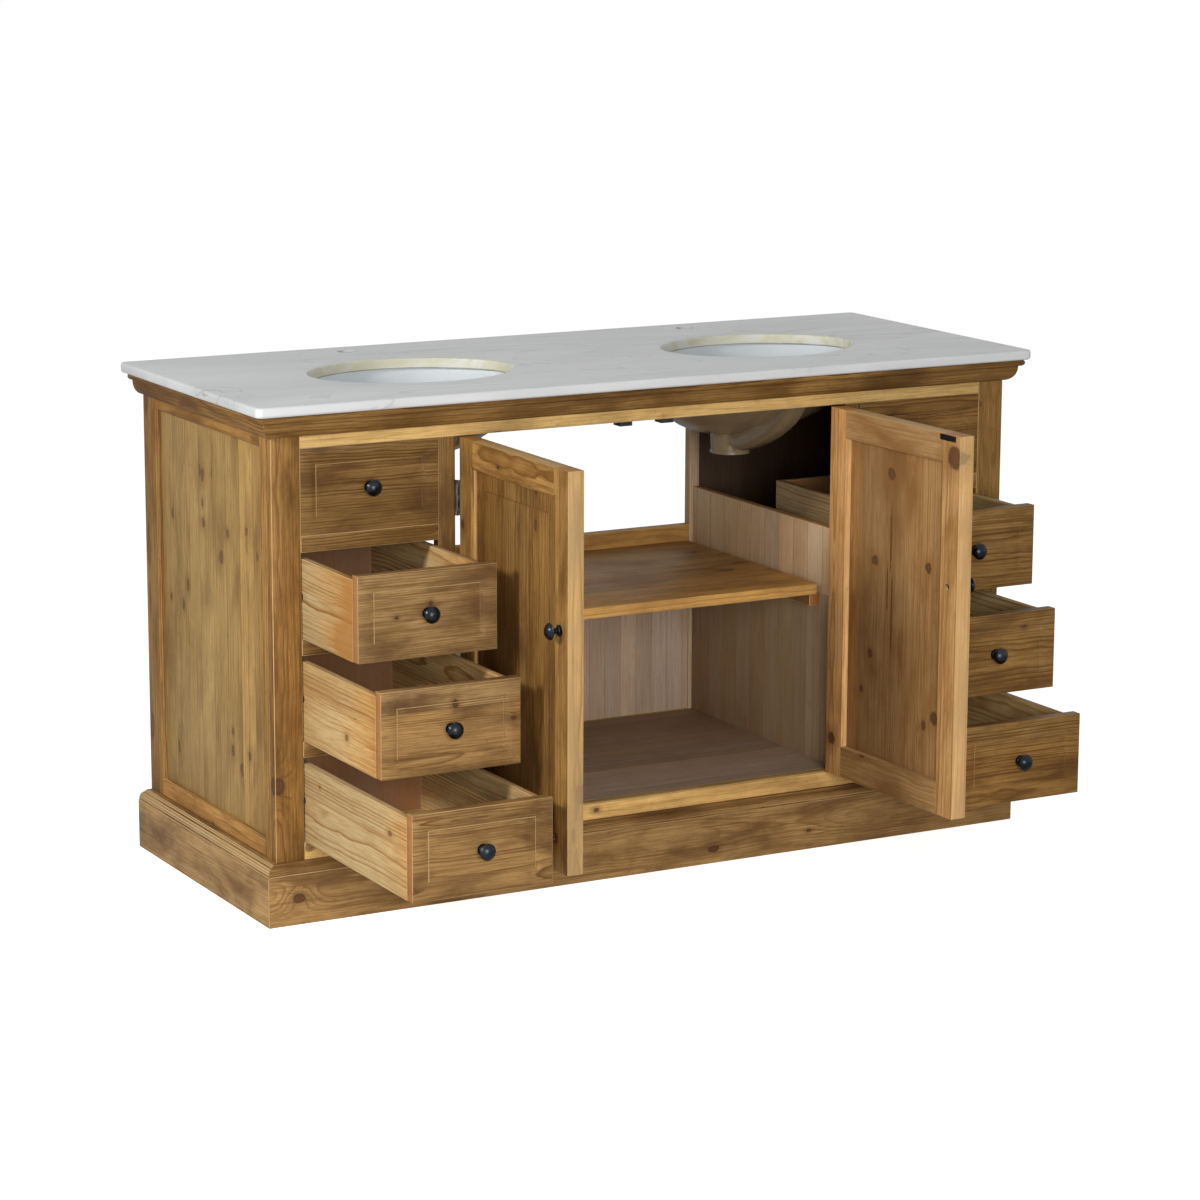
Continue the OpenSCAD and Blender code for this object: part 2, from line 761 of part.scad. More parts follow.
module hinge_frame_leaves() {
    color("dimgray") both() for (z = [door_lo + hinge_end, door_hi - hinge_end]) hinge(0, z);
}

// Turns a closed right door about its pin
module swung(angle) {
    translate([pin_x, pin_y, 0]) rotate(angle) translate([-pin_x, -pin_y, 0]) children();
}

// Closed right door frame: hinge edge at x = door_half - door_gap
module door_frame() {
    x1 = door_half - door_gap;
    x0 = x1 - door_w;
    w = door_w - 2 * door_stile;
    h = door_hi - door_lo - door_top - door_bottom;
    bed = (leaf_t * 2 + leaf_gap - door_gap) / 2;
    difference() {
        block([x0, yf, door_lo], [x1, yf + door_t, door_hi]);
        block([x0 + door_stile, yf - 1, door_lo + door_bottom], [x1 - door_stile, yf + door_t + 1, door_hi - door_top]);
        // groove for the panel tongue
        block([x0 + door_stile - door_tongue, yf + door_sink, door_lo + door_bottom - door_tongue],
              [x1 - door_stile + door_tongue, yf + door_sink + door_panel_t, door_hi - door_top + door_tongue]);
        // stepped bevel round the opening
        translate([(x0 + x1) / 2, yf, door_lo + door_bottom + h / 2]) rotate([90, 0, 0]) {
            bevelled(w + 3, h + 3, 3.5, 4);
            bevelled(w, h, 6.5, 2);
        }
        for (z = [door_lo + hinge_end, door_hi - hinge_end])
            block([x1 - bed, yf - eps, z - hinge_h / 2], [x1 + eps, pin_y + knuckle_r + leaf_w, z + hinge_h / 2]);
        translate([x0 + 27.5, yf, knob_z]) rotate([-90, 0, 0]) {
            translate([0, 0, -1]) cylinder(r = screw_r + 0.25, h = door_t + 2);
            translate([0, 0, door_t - 6]) cylinder(r = screw_head + 1.3, h = 10);
        }
    }
}

// Door panel: raised field in front, flat behind
module door_panel() {
    x1 = door_half - door_gap - door_stile + door_tongue;
    x0 = door_half - door_gap - door_w + door_stile - door_tongue;
    z0 = door_lo + door_bottom - door_tongue;
    z1 = door_hi - door_top + door_tongue;
    y0 = yf + door_sink;
    union() {
        block([x0, y0, z0], [x1, y0 + door_panel_t, z1]);
        block([x0 + door_tongue + border, y0 - raised, z0 + door_tongue + border],
              [x1 - door_tongue - border, y0 + 1, z1 - door_tongue - border]);
    }
}

module door_knob() {
    translate([door_half - door_gap - door_w + 27.5, yf, knob_z]) knob(door_t - 6);
}

// Hinge leaves on the door edge and the strike plate near its top corner
module door_fittings() {
    for (z = [door_lo + hinge_end, door_hi - hinge_end]) hinge(1, z);
    translate([door_half - door_gap - door_w + strike_in, yf + door_t, door_hi - strike_h - 1])
        cube([strike_l, strike_t, strike_h]);
}

module door_frame_left() { color("peru") mirror([1, 0, 0]) swung(open_l) door_frame(); }
module door_panel_left() { color("burlywood") mirror([1, 0, 0]) swung(open_l) door_panel(); }
module door_knob_left() { color("dimgray") mirror([1, 0, 0]) swung(open_l) door_knob(); }
module door_fittings_left() { color("dimgray") mirror([1, 0, 0]) swung(open_l) door_fittings(); }
module door_frame_right() { color("peru") swung(open_r) door_frame(); }
module door_panel_right() { color("burlywood") swung(open_r) door_panel(); }
module door_knob_right() { color("dimgray") swung(open_r) door_knob(); }
module door_fittings_right() { color("dimgray") swung(open_r) door_fittings(); }

// Places a drawer: side -1 or 1, level 0 at the bottom, drawn out by out
module drawn(side, level, out) {
    translate([side * draw_x, yf - out, floor_z + level * pitch]) children();
}

module drawer_front() {
    translate([0, 0, drawer_gap]) sunk_front(draw_w, bay_h - 2 * drawer_gap, front_t);
}

// Drawer sides, back and a bottom held in grooves
module drawer_box() {
    h = bay_h - box_low - slide_gap;
    up = 10;
    w = draw_w / 2;
    both() difference() {
        block([w - box_t, front_t, slide_gap], [w, drawer_l, slide_gap + h]);
        block([w - box_t - 1, front_t - 1, slide_gap + up], [w - box_t + groove, drawer_l - box_t / 2, slide_gap + up + bottom_t]);
    }
    difference() {
        block([-w + box_t, drawer_l - box_t, slide_gap], [w - box_t, drawer_l, slide_gap + h]);
        block([-w, drawer_l - box_t - 1, slide_gap + up], [w, drawer_l - box_t / 2, slide_gap + up + bottom_t]);
    }
    block([-w + box_t - groove, front_t, slide_gap + up], [w - box_t + groove, drawer_l - box_t / 2, slide_gap + up + bottom_t]);
}

module drawer_knob() {
    translate([0, field_deep, drawer_gap + bay_h / 2 - drawer_gap]) knob(front_t - field_deep);
}

module drawer_front_l1() { color("peru") drawn(-1, 0, out_l1) drawer_front(); }
module drawer_box_l1() { color("wheat") drawn(-1, 0, out_l1) drawer_box(); }
module drawer_knob_l1() { color("dimgray") drawn(-1, 0, out_l1) drawer_knob(); }
module drawer_front_l2() { color("peru") drawn(-1, 1, out_l2) drawer_front(); }
module drawer_box_l2() { color("wheat") drawn(-1, 1, out_l2) drawer_box(); }
module drawer_knob_l2() { color("dimgray") drawn(-1, 1, out_l2) drawer_knob(); }
module drawer_front_l3() { color("peru") drawn(-1, 2, out_l3) drawer_front(); }
module drawer_box_l3() { color("wheat") drawn(-1, 2, out_l3) drawer_box(); }
module drawer_knob_l3() { color("dimgray") drawn(-1, 2, out_l3) drawer_knob(); }
module drawer_front_r1() { color("peru") drawn(1, 0, out_r1) drawer_front(); }
module drawer_box_r1() { color("wheat") drawn(1, 0, out_r1) drawer_box(); }
module drawer_knob_r1() { color("dimgray") drawn(1, 0, out_r1) drawer_knob(); }
module drawer_front_r2() { color("peru") drawn(1, 1, out_r2) drawer_front(); }
module drawer_box_r2() { color("wheat") drawn(1, 1, out_r2) drawer_box(); }
module drawer_knob_r2() { color("dimgray") drawn(1, 1, out_r2) drawer_knob(); }
module drawer_front_r3() { color("peru") drawn(1, 2, out_r3) drawer_front(); }
module drawer_box_r3() { color("wheat") drawn(1, 2, out_r3) drawer_box(); }
module drawer_knob_r3() { color("dimgray") drawn(1, 2, out_r3) drawer_knob(); }

marble_top();
basin_left();
basin_right();
cornice();
face_stiles();
face_posts();
top_rail();
bottom_rail();
drawer_rails_left();
drawer_rails_right();
false_front_left();
false_front_right();
side_frame_left();
side_frame_right();
side_panel_left();
side_panel_right();
partition_left();
partition_right();
floor_board();
shelf();
shelf_cleats();
back_posts();
back_rails();
back_panels();
front_stretcher();
runners_left();
runners_right();
drawer_glides();
plinth();
plinth_cap();
centre_brace();
door_catches();
hinge_frame_leaves();
false_knobs();
door_frame_left();
door_panel_left();
door_knob_left();
door_fittings_left();
door_frame_right();
door_panel_right();
door_knob_right();
door_fittings_right();
drawer_front_l1();
drawer_box_l1();
drawer_knob_l1();
drawer_front_l2();
drawer_box_l2();
drawer_knob_l2();
drawer_front_l3();
drawer_box_l3();
drawer_knob_l3();
drawer_front_r1();
drawer_box_r1();
drawer_knob_r1();
drawer_front_r2();
drawer_box_r2();
drawer_knob_r2();
drawer_front_r3();
drawer_box_r3();
drawer_knob_r3();
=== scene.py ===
import math
import random

import bpy
from mathutils import Matrix, Vector


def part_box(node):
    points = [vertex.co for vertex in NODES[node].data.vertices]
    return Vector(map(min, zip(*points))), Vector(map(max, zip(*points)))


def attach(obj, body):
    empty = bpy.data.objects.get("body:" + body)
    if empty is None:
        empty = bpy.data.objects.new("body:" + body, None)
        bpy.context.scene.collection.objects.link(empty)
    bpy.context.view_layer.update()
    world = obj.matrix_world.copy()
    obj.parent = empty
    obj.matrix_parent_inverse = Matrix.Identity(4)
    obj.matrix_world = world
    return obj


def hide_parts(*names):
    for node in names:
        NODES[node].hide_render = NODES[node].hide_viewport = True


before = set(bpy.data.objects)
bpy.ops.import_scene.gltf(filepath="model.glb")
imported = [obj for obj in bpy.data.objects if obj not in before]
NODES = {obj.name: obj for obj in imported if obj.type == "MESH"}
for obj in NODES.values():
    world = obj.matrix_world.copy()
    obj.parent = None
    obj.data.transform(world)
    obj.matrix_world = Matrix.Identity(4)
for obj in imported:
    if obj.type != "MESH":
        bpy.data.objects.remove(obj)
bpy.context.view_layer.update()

# Places and sizes of the model that the finishes depend on, in metres
PIN_X = 0.38625
PIN_Y = -0.283
BASIN_X = 0.35
BASIN_Y = -0.035
CUTOUT_HALF_X = 0.186
CUTOUT_HALF_Y = 0.144
TAP_Y = 0.231
TAP_RADIUS = 0.0178
DRAIN_Y = 0.06
DRAIN_RADIUS = 0.024
BOSS_TOP = 0.735
SLAB_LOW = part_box("marble_top")[0][2]
SHELF_Z = 0.445
BANK_X = 0.39
SIDE_STILE_FRONT = -0.23
SIDE_STILE_BACK = 0.221
DOOR_HALF = 0.3855
DOOR_WIDTH = 0.38475
DOOR_STILE = 0.048
RAIL_SPLIT_Z = 0.45
SCREW_HOLE = 0.007
STRIKE_HALF = 0.1
REAR_BOARD = 0.03
# Bevels further than this from a board's edge belong to its raised field
FIELD_EDGE = 0.012
# A bevel's state goes from rubbed light, 1, to dark with painted shade, -1
RUBBED = 1.0
SHADED_BEVEL = -0.6
# How far the doors stand open in the modelled pose, in degrees
OPEN_LEFT = 90.0
OPEN_RIGHT = 92.0
# The fitted camera: focal length and width of the picture in its pixels, then where it stands
FOCAL = 3659.22
PICTURE = 1200
FILM = 36.0
STAND = (-3.0818, -5.7043, 1.78358)


class Graph:
    """A node tree with short calls for the nodes that the finishes need."""

    def __init__(self, tree):
        self.tree = tree

    def add(self, kind, **settings):
        made = self.tree.nodes.new(kind)
        for name, value in settings.items():
            setattr(made, name, value)
        return made

    def put(self, socket, value):
        """Links another socket to this one, or sets its value; a colour needs no alpha."""
        if isinstance(value, bpy.types.NodeSocket):
            self.tree.links.new(value, socket)
        elif value is not None:
            socket.default_value = (*value[:3], 1.0) if socket.type == "RGBA" else value

    def math(self, operation, a, b=None, c=None, clamp=False):
        made = self.add("ShaderNodeMath", operation=operation, use_clamp=clamp)
        for socket, value in zip(made.inputs, (a, b, c)):
            self.put(socket, value)
        return made.outputs[0]

    def times(self, a, b, clamp=False):
        return self.math("MULTIPLY", a, b, clamp=clamp)

    def times_plus(self, a, b, c):
        return self.math("MULTIPLY_ADD", a, b, c)

    def plus(self, a, b):
        return self.math("ADD", a, b)

    def minus(self, a, b):
        return self.math("SUBTRACT", a, b)

    def over(self, a, b):
        return self.math("DIVIDE", a, b)

    def vector(self, operation, a, b=None, scale=None):
        made = self.add("ShaderNodeVectorMath", operation=operation)
        self.put(made.inputs[0], a)
        if b is not None:
            self.put(made.inputs[1], b)
        if scale is not None:
            self.put(made.inputs["Scale"], scale)
        return made.outputs["Value" if operation in ("LENGTH", "DOT_PRODUCT") else "Vector"]

    def split(self, value):
        made = self.add("ShaderNodeSeparateXYZ")
        self.put(made.inputs[0], value)
        return made.outputs

    def join(self, x, y, z):
        made = self.add("ShaderNodeCombineXYZ")
        for socket, value in zip(made.inputs, (x, y, z)):
            self.put(socket, value)
        return made.outputs[0]

    def noise(self, place, scale=1.0, detail=3.0, roughness=0.5, distortion=0.0, colour=False):
        made = self.add("ShaderNodeTexNoise")
        for name, value in (("Vector", place), ("Scale", scale), ("Detail", detail), ("Roughness", roughness),
                            ("Distortion", distortion)):
            self.put(made.inputs[name], value)
        return made.outputs["Color" if colour else "Fac"]

    def cells(self, place, scale):
        made = self.add("ShaderNodeTexVoronoi", voronoi_dimensions="2D")
        self.put(made.inputs["Vector"], place)
        self.put(made.inputs["Scale"], scale)
        return made.outputs["Color"], made.outputs["Position"]

    def chance(self, place):
        made = self.add("ShaderNodeTexWhiteNoise", noise_dimensions="3D")
        self.put(made.inputs["Vector"], place)
        return made.outputs["Value"], made.outputs["Color"]

    def fade(self, value, low, high, start=0.0, end=1.0, smooth=True):
        """start below low, end above high, and a soft step between."""
        made = self.add("ShaderNodeMapRange", interpolation_type="SMOOTHSTEP" if smooth else "LINEAR")
        for socket, given in zip(made.inputs, (value, low, high, start, end)):
            self.put(socket, given)
        return made.outputs[0]

    def mix(self, share, a, b, blend="MIX"):
        made = self.add("ShaderNodeMix", data_type="RGBA", blend_type=blend)
        self.put(made.inputs[0], share)
        self.put(made.inputs[6], a)
        self.put(made.inputs[7], b)
        return made.outputs[2]

    def use(self, group, **values):
        made = self.add("ShaderNodeGroup", node_tree=group)
        for name, value in values.items():
            self.put(made.inputs[name.replace("_", " ")], value)
        return made.outputs


def new_group(name, inputs, outputs):
    """An empty node group with named sockets; inputs are (name, type, default)."""
    tree = bpy.data.node_groups.new(name, "ShaderNodeTree")
    for label, kind, default in inputs:
        socket = tree.interface.new_socket(name=label, in_out="INPUT", socket_type="NodeSocket" + kind)
        if default is not None:
            socket.default_value = default
    for label, kind in outputs:
        tree.interface.new_socket(name=label, in_out="OUTPUT", socket_type="NodeSocket" + kind)
    graph = Graph(tree)
    start = graph.add("NodeGroupInput")
    end = graph.add("NodeGroupOutput")
    return tree, graph, start.outputs, end.inputs


def pine_grain_group():
    """Growth rings, knots, streaks and fibres of glued pine strips, from board coordinates in metres."""
    tree, g, given, out = new_group(
        "Pine grain",
        [("Board", "Vector", None), ("Strip", "Float", 0.07), ("Ring", "Float", 0.005),
         ("Knot spacing", "Float", 0.12), ("Knot share", "Float", 0.3), ("Waviness", "Float", 0.012)],
        [(label, "Float") for label in (
            "Rings", "Knot", "Knot core", "Tail", "Strip tone", "Strip hue", "Fibre", "Streak", "Fleck",
            "Patch", "Joint", "Lines")])
    along, across, deep = g.split(given["Board"])
    # Glued strips, each with its own piece of the tree
    lane = g.over(across, given["Strip"])
    strip = g.math("FLOOR", lane)
    inside = g.minus(lane, strip)
    edge = g.times(g.math("MINIMUM", inside, g.minus(1.0, inside)), given["Strip"])
    joint = g.fade(edge, 0.0003, 0.0013, 1.0, 0.0)
    tone, seed = g.chance(g.join(strip, g.math("FLOOR", g.times(deep, 0.5)), 3.7))
    sx, sy, sz = g.split(seed)
    run = g.times_plus(sx, 9.0, along)
    side = g.times(g.minus(inside, 0.5), given["Strip"])
    # Slow wander of the trunk along the board
    wander = g.noise(g.join(g.times(run, 2.6), strip, 0.0), 1.0, 3.0, 0.55, 0.0, colour=True)
    wx, wy = g.split(wander)[:2]
    drift = g.times(g.minus(wx, 0.5), given["Waviness"])
    lift = g.times(g.minus(wy, 0.5), g.times(given["Waviness"], 2.4))
    # Knots with a soft tail along the grain, one in some of the cells of a pattern
    place = g.join(g.times(run, 0.55), g.times_plus(sz, 5.0, across), 0.0)
    cell, centre = g.cells(place, g.over(1.0, given["Knot spacing"]))
    cx, cy, cz = g.split(cell)
    there = g.math("LESS_THAN", cx, given["Knot share"])
    px, py = g.split(place)[:2]
    kx, ky = g.split(centre)[:2]
    da = g.over(g.minus(px, kx), 0.55)
    dc = g.minus(py, ky)
    size = g.times_plus(g.math("POWER", cy, 1.8), 0.0085, 0.0026)
    away = g.math("SQRT", g.plus(g.times(g.times(da, da), 0.55), g.times(dc, dc)))
    away = g.times_plus(g.minus(g.noise(place, 120.0, 2.0), 0.5), 0.0035, away)
    knot = g.times(there, g.fade(away, g.times(size, 0.8), g.times(size, 1.25), 1.0, 0.0))
    core = g.times(there, g.fade(away, g.times(size, 0.45), g.times(size, 0.85), 1.0, 0.0))
    core = g.times(core, g.fade(away, g.times(size, 0.1), g.times(size, 0.35), 0.3, 1.0))
    ta = g.over(da, g.times_plus(cz, 0.035, 0.02))
    tc = g.over(dc, g.times(size, 1.5))
    tail = g.math("EXPONENT", g.times(g.plus(g.times(ta, ta), g.times(tc, tc)), -1.0))
    tail = g.times(tail, there)
    reach = g.over(away, g.times(size, 2.6))
    push = g.math("EXPONENT", g.times(g.times(reach, reach), -1.0))
    push = g.times(g.times(push, there), g.times(size, 1.7))
    # Distance from the heart of the tree gives the rings, which bend around the knots
    u = g.plus(g.times_plus(g.minus(sy, 0.5), 0.08, side), drift)
    w = g.plus(g.times_plus(sz, 0.055, 0.003), lift)
    heart = g.plus(g.math("SQRT", g.plus(g.times(u, u), g.times(w, w))), push)
    fine = g.noise(g.join(g.times(run, 11.0), g.times(across, 170.0), strip), 1.0, 3.0, 0.6)
    heart = g.times_plus(g.minus(fine, 0.5), 0.0024, heart)
    phase = g.math("FRACT", g.over(heart, given["Ring"]))
    rings = g.times(g.math("POWER", phase, 3.2), g.fade(phase, 0.84, 1.0, 1.0, 0.0))
    strength = g.noise(g.join(g.times(heart, 150.0), strip, 0.5), 1.0, 2.0)
    rings = g.times(rings, g.fade(strength, 0.35, 0.7, 0.15, 1.8))
    # Finer marks, all long along the board
    fibre = g.noise(g.join(g.times(run, 16.0), g.times(across, 560.0), g.times(deep, 560.0)), 1.0, 3.0, 0.7)
    flow = g.join(g.times(run, 3.2), g.times(across, 150.0), g.times(deep, 60.0))
    streak = g.noise(flow, 1.0, 5.0, 0.68, 0.4)
    fleck = g.noise(g.join(g.times(run, 24.0), g.times(across, 210.0), strip), 1.0, 2.0, 0.5, 0.6)
    lines = g.noise(g.join(g.times(run, 7.0), g.times(across, 330.0), strip), 1.0, 2.0, 0.6, 0.3)
    patch = g.noise(g.join(g.times(run, 5.5), g.times(across, 15.0), deep), 1.0, 4.0, 0.6, 0.3)
    streak = g.fade(streak, 0.48, 0.72)
    fleck = g.fade(fleck, 0.66, 0.8)
    results = (rings, knot, core, tail, tone, sy, fibre, streak, fleck, patch, joint, lines)
    for socket, value in zip(out, results):
        g.put(socket, value)
    return tree


def hand_rub_group():
    """Uneven handling over a surface: soft cloudy wear and small dents, from object coordinates."""
    tree, g, given, out = new_group("Hand rub", [("Place", "Vector", None), ("Amount", "Float", 1.0)],
                                    [("Cloud", "Float"), ("Dents", "Float")])
    cloud = g.noise(given["Place"], 6.0, 4.0, 0.6)
    dents = g.noise(given["Place"], 70.0, 3.0, 0.55)
    g.put(out["Cloud"], g.times(g.fade(cloud, 0.35, 0.7), given["Amount"]))
    g.put(out["Dents"], g.times(g.fade(dents, 0.6, 0.8), given["Amount"]))
    return tree


def placed_knot_group():
    """One knot or resin streak at a given place, as wide as its reach along each axis."""
    tree, g, given, out = new_group(
        "Placed knot", [("Place", "Vector", None), ("Centre", "Vector", None), ("Reach", "Vector", None)],
        [("Knot", "Float"), ("Core", "Float"), ("Halo", "Float")])
    away = g.vector("SUBTRACT", given["Place"], given["Centre"])
    away = g.vector("LENGTH", g.vector("DIVIDE", away, given["Reach"]))
    away = g.times_plus(g.minus(g.noise(given["Place"], 130.0, 2.0), 0.5), 0.8, away)
    g.put(out["Knot"], g.fade(away, 0.75, 1.15, 1.0, 0.0))
    g.put(out["Halo"], g.fade(away, 0.8, 3.2, 1.0, 0.0))
    g.put(out["Core"], g.times(g.fade(away, 0.35, 0.8, 1.0, 0.0), g.fade(away, 0.0, 0.3, 0.3, 1.0)))
    return tree


PINE_GRAIN = pine_grain_group()
PLACED_KNOT = placed_knot_group()
HAND_RUB = hand_rub_group()


def new_finish(name):
    """A material with a Principled BSDF; returns it with its graph and shader node."""
    made = bpy.data.materials.new(name)
    made.use_nodes = True
    tree = made.node_tree
    tree.nodes.clear()
    g = Graph(tree)
    shader = g.add("ShaderNodeBsdfPrincipled")
    end = g.add("ShaderNodeOutputMaterial")
    g.put(end.inputs["Surface"], shader.outputs["BSDF"])
    return made, g, shader


def bump(g, shader, height, distance, strength):
    made = g.add("ShaderNodeBump")
    made.inputs["Strength"].default_value = strength
    made.inputs["Distance"].default_value = distance
    g.put(made.inputs["Height"], height)
    g.put(shader.inputs["Normal"], made.outputs["Normal"])


# The wax colour that end grain takes on
END_WAX = (0.42, 0.17, 0.045)


def pine(name, light, dark, knot, stain, strip=0.07, ring=0.006, knot_spacing=0.13, knot_share=0.3,
         contrast=1.0, spread=0.3, wave=0.014, rough=0.5, grime=0.5, streaks=0.5, flecks=0.5,
         wear=(0.58, 0.40, 0.19), soak=None, marks=()):
    """Pine boards: light is early wood, dark is late wood, stain is what gathers in patches.

    strip is the width of the glued strips and ring a year's growth, in metres. wear shows on rubbed arrises,
    soak is wax that crept in from a drawer's front, and marks are placed knots.
    """
    made, g, shader = new_finish(name)
    board = g.add("ShaderNodeAttribute", attribute_name="board").outputs["Vector"]
    tone, end_face, arris = g.split(g.add("ShaderNodeAttribute", attribute_name="finish").outputs["Vector"])
    wood = g.use(PINE_GRAIN, Board=board, Strip=strip, Ring=ring, Knot_spacing=knot_spacing,
                 Knot_share=knot_share, Waviness=wave)
    place = g.add("ShaderNodeTexCoord").outputs["Object"]
    rub = g.use(HAND_RUB, Place=place, Amount=1.0)
    rings = g.times(wood["Rings"], contrast, clamp=True)
    knots, cores, halo = wood["Knot"], wood["Knot core"], wood["Tail"]
    for centre, reach in marks:
        mark = g.use(PLACED_KNOT, Place=place, Centre=centre, Reach=reach)
        knots = g.math("MAXIMUM", knots, mark["Knot"])
        cores = g.math("MAXIMUM", cores, mark["Core"])
        halo = g.math("MAXIMUM", halo, g.times(mark["Halo"], 0.8))
    colour = g.mix(rings, light, dark)
    colour = g.mix(g.times(wood["Streak"], streaks), colour, dark)
    colour = g.mix(g.times(g.fade(wood["Patch"], 0.4, 0.72), grime), colour, stain)
    colour = g.mix(g.times(g.fade(wood["Fibre"], 0.47, 0.66), 0.62), colour, dark)
    colour = g.mix(g.times(g.fade(wood["Lines"], 0.6, 0.68), 0.5), colour, stain)
    # Strip by strip and board by board differences
    shade = g.times_plus(g.minus(wood["Strip tone"], 0.5), spread, 1.0)
    shade = g.times(shade, g.times_plus(tone, 1.2, 0.4))
    hue = g.times(g.minus(wood["Strip hue"], 0.5), 0.1)
    tint = g.join(g.times(shade, g.plus(1.0, hue)), shade, g.times(shade, g.minus(1.0, g.times(hue, 1.6))))
    colour = g.mix(1.0, colour, tint, "MULTIPLY")
    colour = g.mix(g.times(wood["Joint"], 0.6), colour, stain)
    colour = g.mix(g.times(wood["Fleck"], flecks), colour, stain)
    colour = g.mix(g.times(halo, 0.6), colour, stain)
    colour = g.mix(g.times(knots, 0.85), colour, knot)
    painted_shade_colour = (knot[0] * 0.4, knot[1] * 0.35, knot[2] * 0.35)
    middle = (knot[0] * 2.4, knot[1] * 1.9, knot[2] * 1.5)
    colour = g.mix(g.times(cores, 0.8), colour, middle)
    colour = g.mix(g.times(rub["Cloud"], 0.16), colour, stain)
    colour = g.mix(g.times(rub["Dents"], 0.3), colour, stain)
    if soak:
        # Wax that crept along the drawer sides from the front
        reach = g.add("ShaderNodeAttribute", attribute_name="from_front").outputs["Fac"]
        reach = g.times_plus(g.minus(wood["Patch"], 0.5), 0.22, reach)
        reach = g.times_plus(g.minus(wood["Fibre"], 0.5), 0.05, reach)
        reach = g.times_plus(wood["Streak"], -0.06, reach)
        warm = g.mix(1.0, colour, (1.0, 0.74, 0.42), "MULTIPLY")
        colour = g.mix(g.fade(reach, -0.02, 0.12, 0.7, 0.0), colour, warm)
        colour = g.mix(g.fade(reach, -0.04, 0.012, 0.75, 0.0), colour, soak)
    # End grain drinks more wax, arrises are rubbed light, and bevels in shade are painted dark as painted
    # shade
    colour = g.mix(g.times(end_face, g.times_plus(wood["Patch"], 0.7, 0.3)), colour, END_WAX)
    bright = g.times(g.math("MAXIMUM", arris, 0.0), g.fade(wood["Patch"], 0.3, 0.6, 0.4, 0.9))
    bevel_shade = g.times(g.math("MAXIMUM", g.times(arris, -1.0), 0.0), 0.75)
    colour = g.mix(bevel_shade, g.mix(bright, colour, wear), painted_shade_colour)
    g.put(shader.inputs["Base Color"], colour)
    dull = g.times_plus(rub["Cloud"], 0.12, rough)
    g.put(shader.inputs["Roughness"], g.times_plus(wood["Rings"], -0.08, dull))
    height = g.plus(g.times(wood["Rings"], -0.5), g.times(wood["Fibre"], 0.7))
    for hollow, depth in ((rub["Dents"], 0.8), (wood["Joint"], 0.6), (wood["Fleck"], 0.5)):
        height = g.minus(height, g.times(hollow, depth))
    bump(g, shader, height, 0.00045, 0.55)
    shader.inputs["Specular IOR Level"].default_value = 0.14
    # lay_grain keeps narrow boards clear of joint lines by this width
    made["strip"] = strip
    return made


def marble():
    """Pale grey marble: clouds, thin veins, and bare yellowish walls in the cut-outs, set lighter as painted
    light.
    """
    made, g, shader = new_finish("pale marble")
    place = g.add("ShaderNodeTexCoord").outputs["Object"]
    x, y, z = g.split(place)
    skew = g.join(g.times_plus(y, 0.35, g.times(x, 0.6)), g.times(y, 2.4), g.times(z, 2.0))
    cloud = g.noise(skew, 2.3, 5.0, 0.58, 0.5)
    mist = g.noise(skew, 9.0, 4.0, 0.6, 1.2)
    path = g.noise(skew, 2.6, 4.0, 0.55, 1.6)
    vein = g.fade(g.math("ABSOLUTE", g.minus(path, 0.5)), 0.0, 0.018, 1.0, 0.0)
    vein = g.times(vein, g.fade(g.noise(skew, 3.1, 2.0), 0.4, 0.6))
    rust = g.times(vein, g.fade(g.noise(skew, 1.7, 2.0), 0.5, 0.62))
    colour = g.mix(g.fade(cloud, 0.35, 0.7), (0.67, 0.68, 0.678), (0.54, 0.55, 0.555))
    colour = g.mix(g.times(g.fade(mist, 0.5, 0.72), 0.3), colour, (0.71, 0.71, 0.70))
    colour = g.mix(g.times(vein, 0.5), colour, (0.33, 0.33, 0.34))
    colour = g.mix(g.times(rust, 0.35), colour, (0.33, 0.29, 0.19))
    # The walls of the cut-outs are bare, with a painted shadow line where the slab is bedded on its basins
    off_x = g.minus(g.math("ABSOLUTE", x), BASIN_X)
    ex = g.over(off_x, CUTOUT_HALF_X)
    ey = g.over(g.minus(y, BASIN_Y), CUTOUT_HALF_Y)
    oval = g.plus(g.times(ex, ex), g.times(ey, ey))
    wall = g.times(g.fade(oval, 1.005, 1.03, 1.0, 0.0), g.fade(mist, 0.25, 0.6, 0.55, 1.0))
    # The bare walls' colours are set light as painted light
    stone = g.mix(g.fade(mist, 0.4, 0.62), (0.77, 0.76, 0.66), (0.66, 0.63, 0.46))
    colour = g.mix(wall, colour, stone)
    gap_shadow = g.times(wall, g.fade(z, SLAB_LOW + 0.0006, SLAB_LOW + 0.0022, 0.75, 0.0))
    colour = g.mix(gap_shadow, colour, (0.09, 0.07, 0.04))
    # The tap holes' walls are painted pale grey as painted light
    off_y = g.minus(y, TAP_Y)
    hole = g.math("SQRT", g.plus(g.times(off_x, off_x), g.times(off_y, off_y)))
    colour = g.mix(g.fade(hole, TAP_RADIUS, TAP_RADIUS + 0.0008, 1.0, 0.0), colour, (0.62, 0.62, 0.60))
    g.put(shader.inputs["Base Color"], colour)
    g.put(shader.inputs["Roughness"], g.times_plus(mist, 0.12, g.times_plus(wall, 0.25, 0.27)))
    bump(g, shader, g.plus(g.times(mist, 0.3), vein), 0.0002, 0.15)
    return made


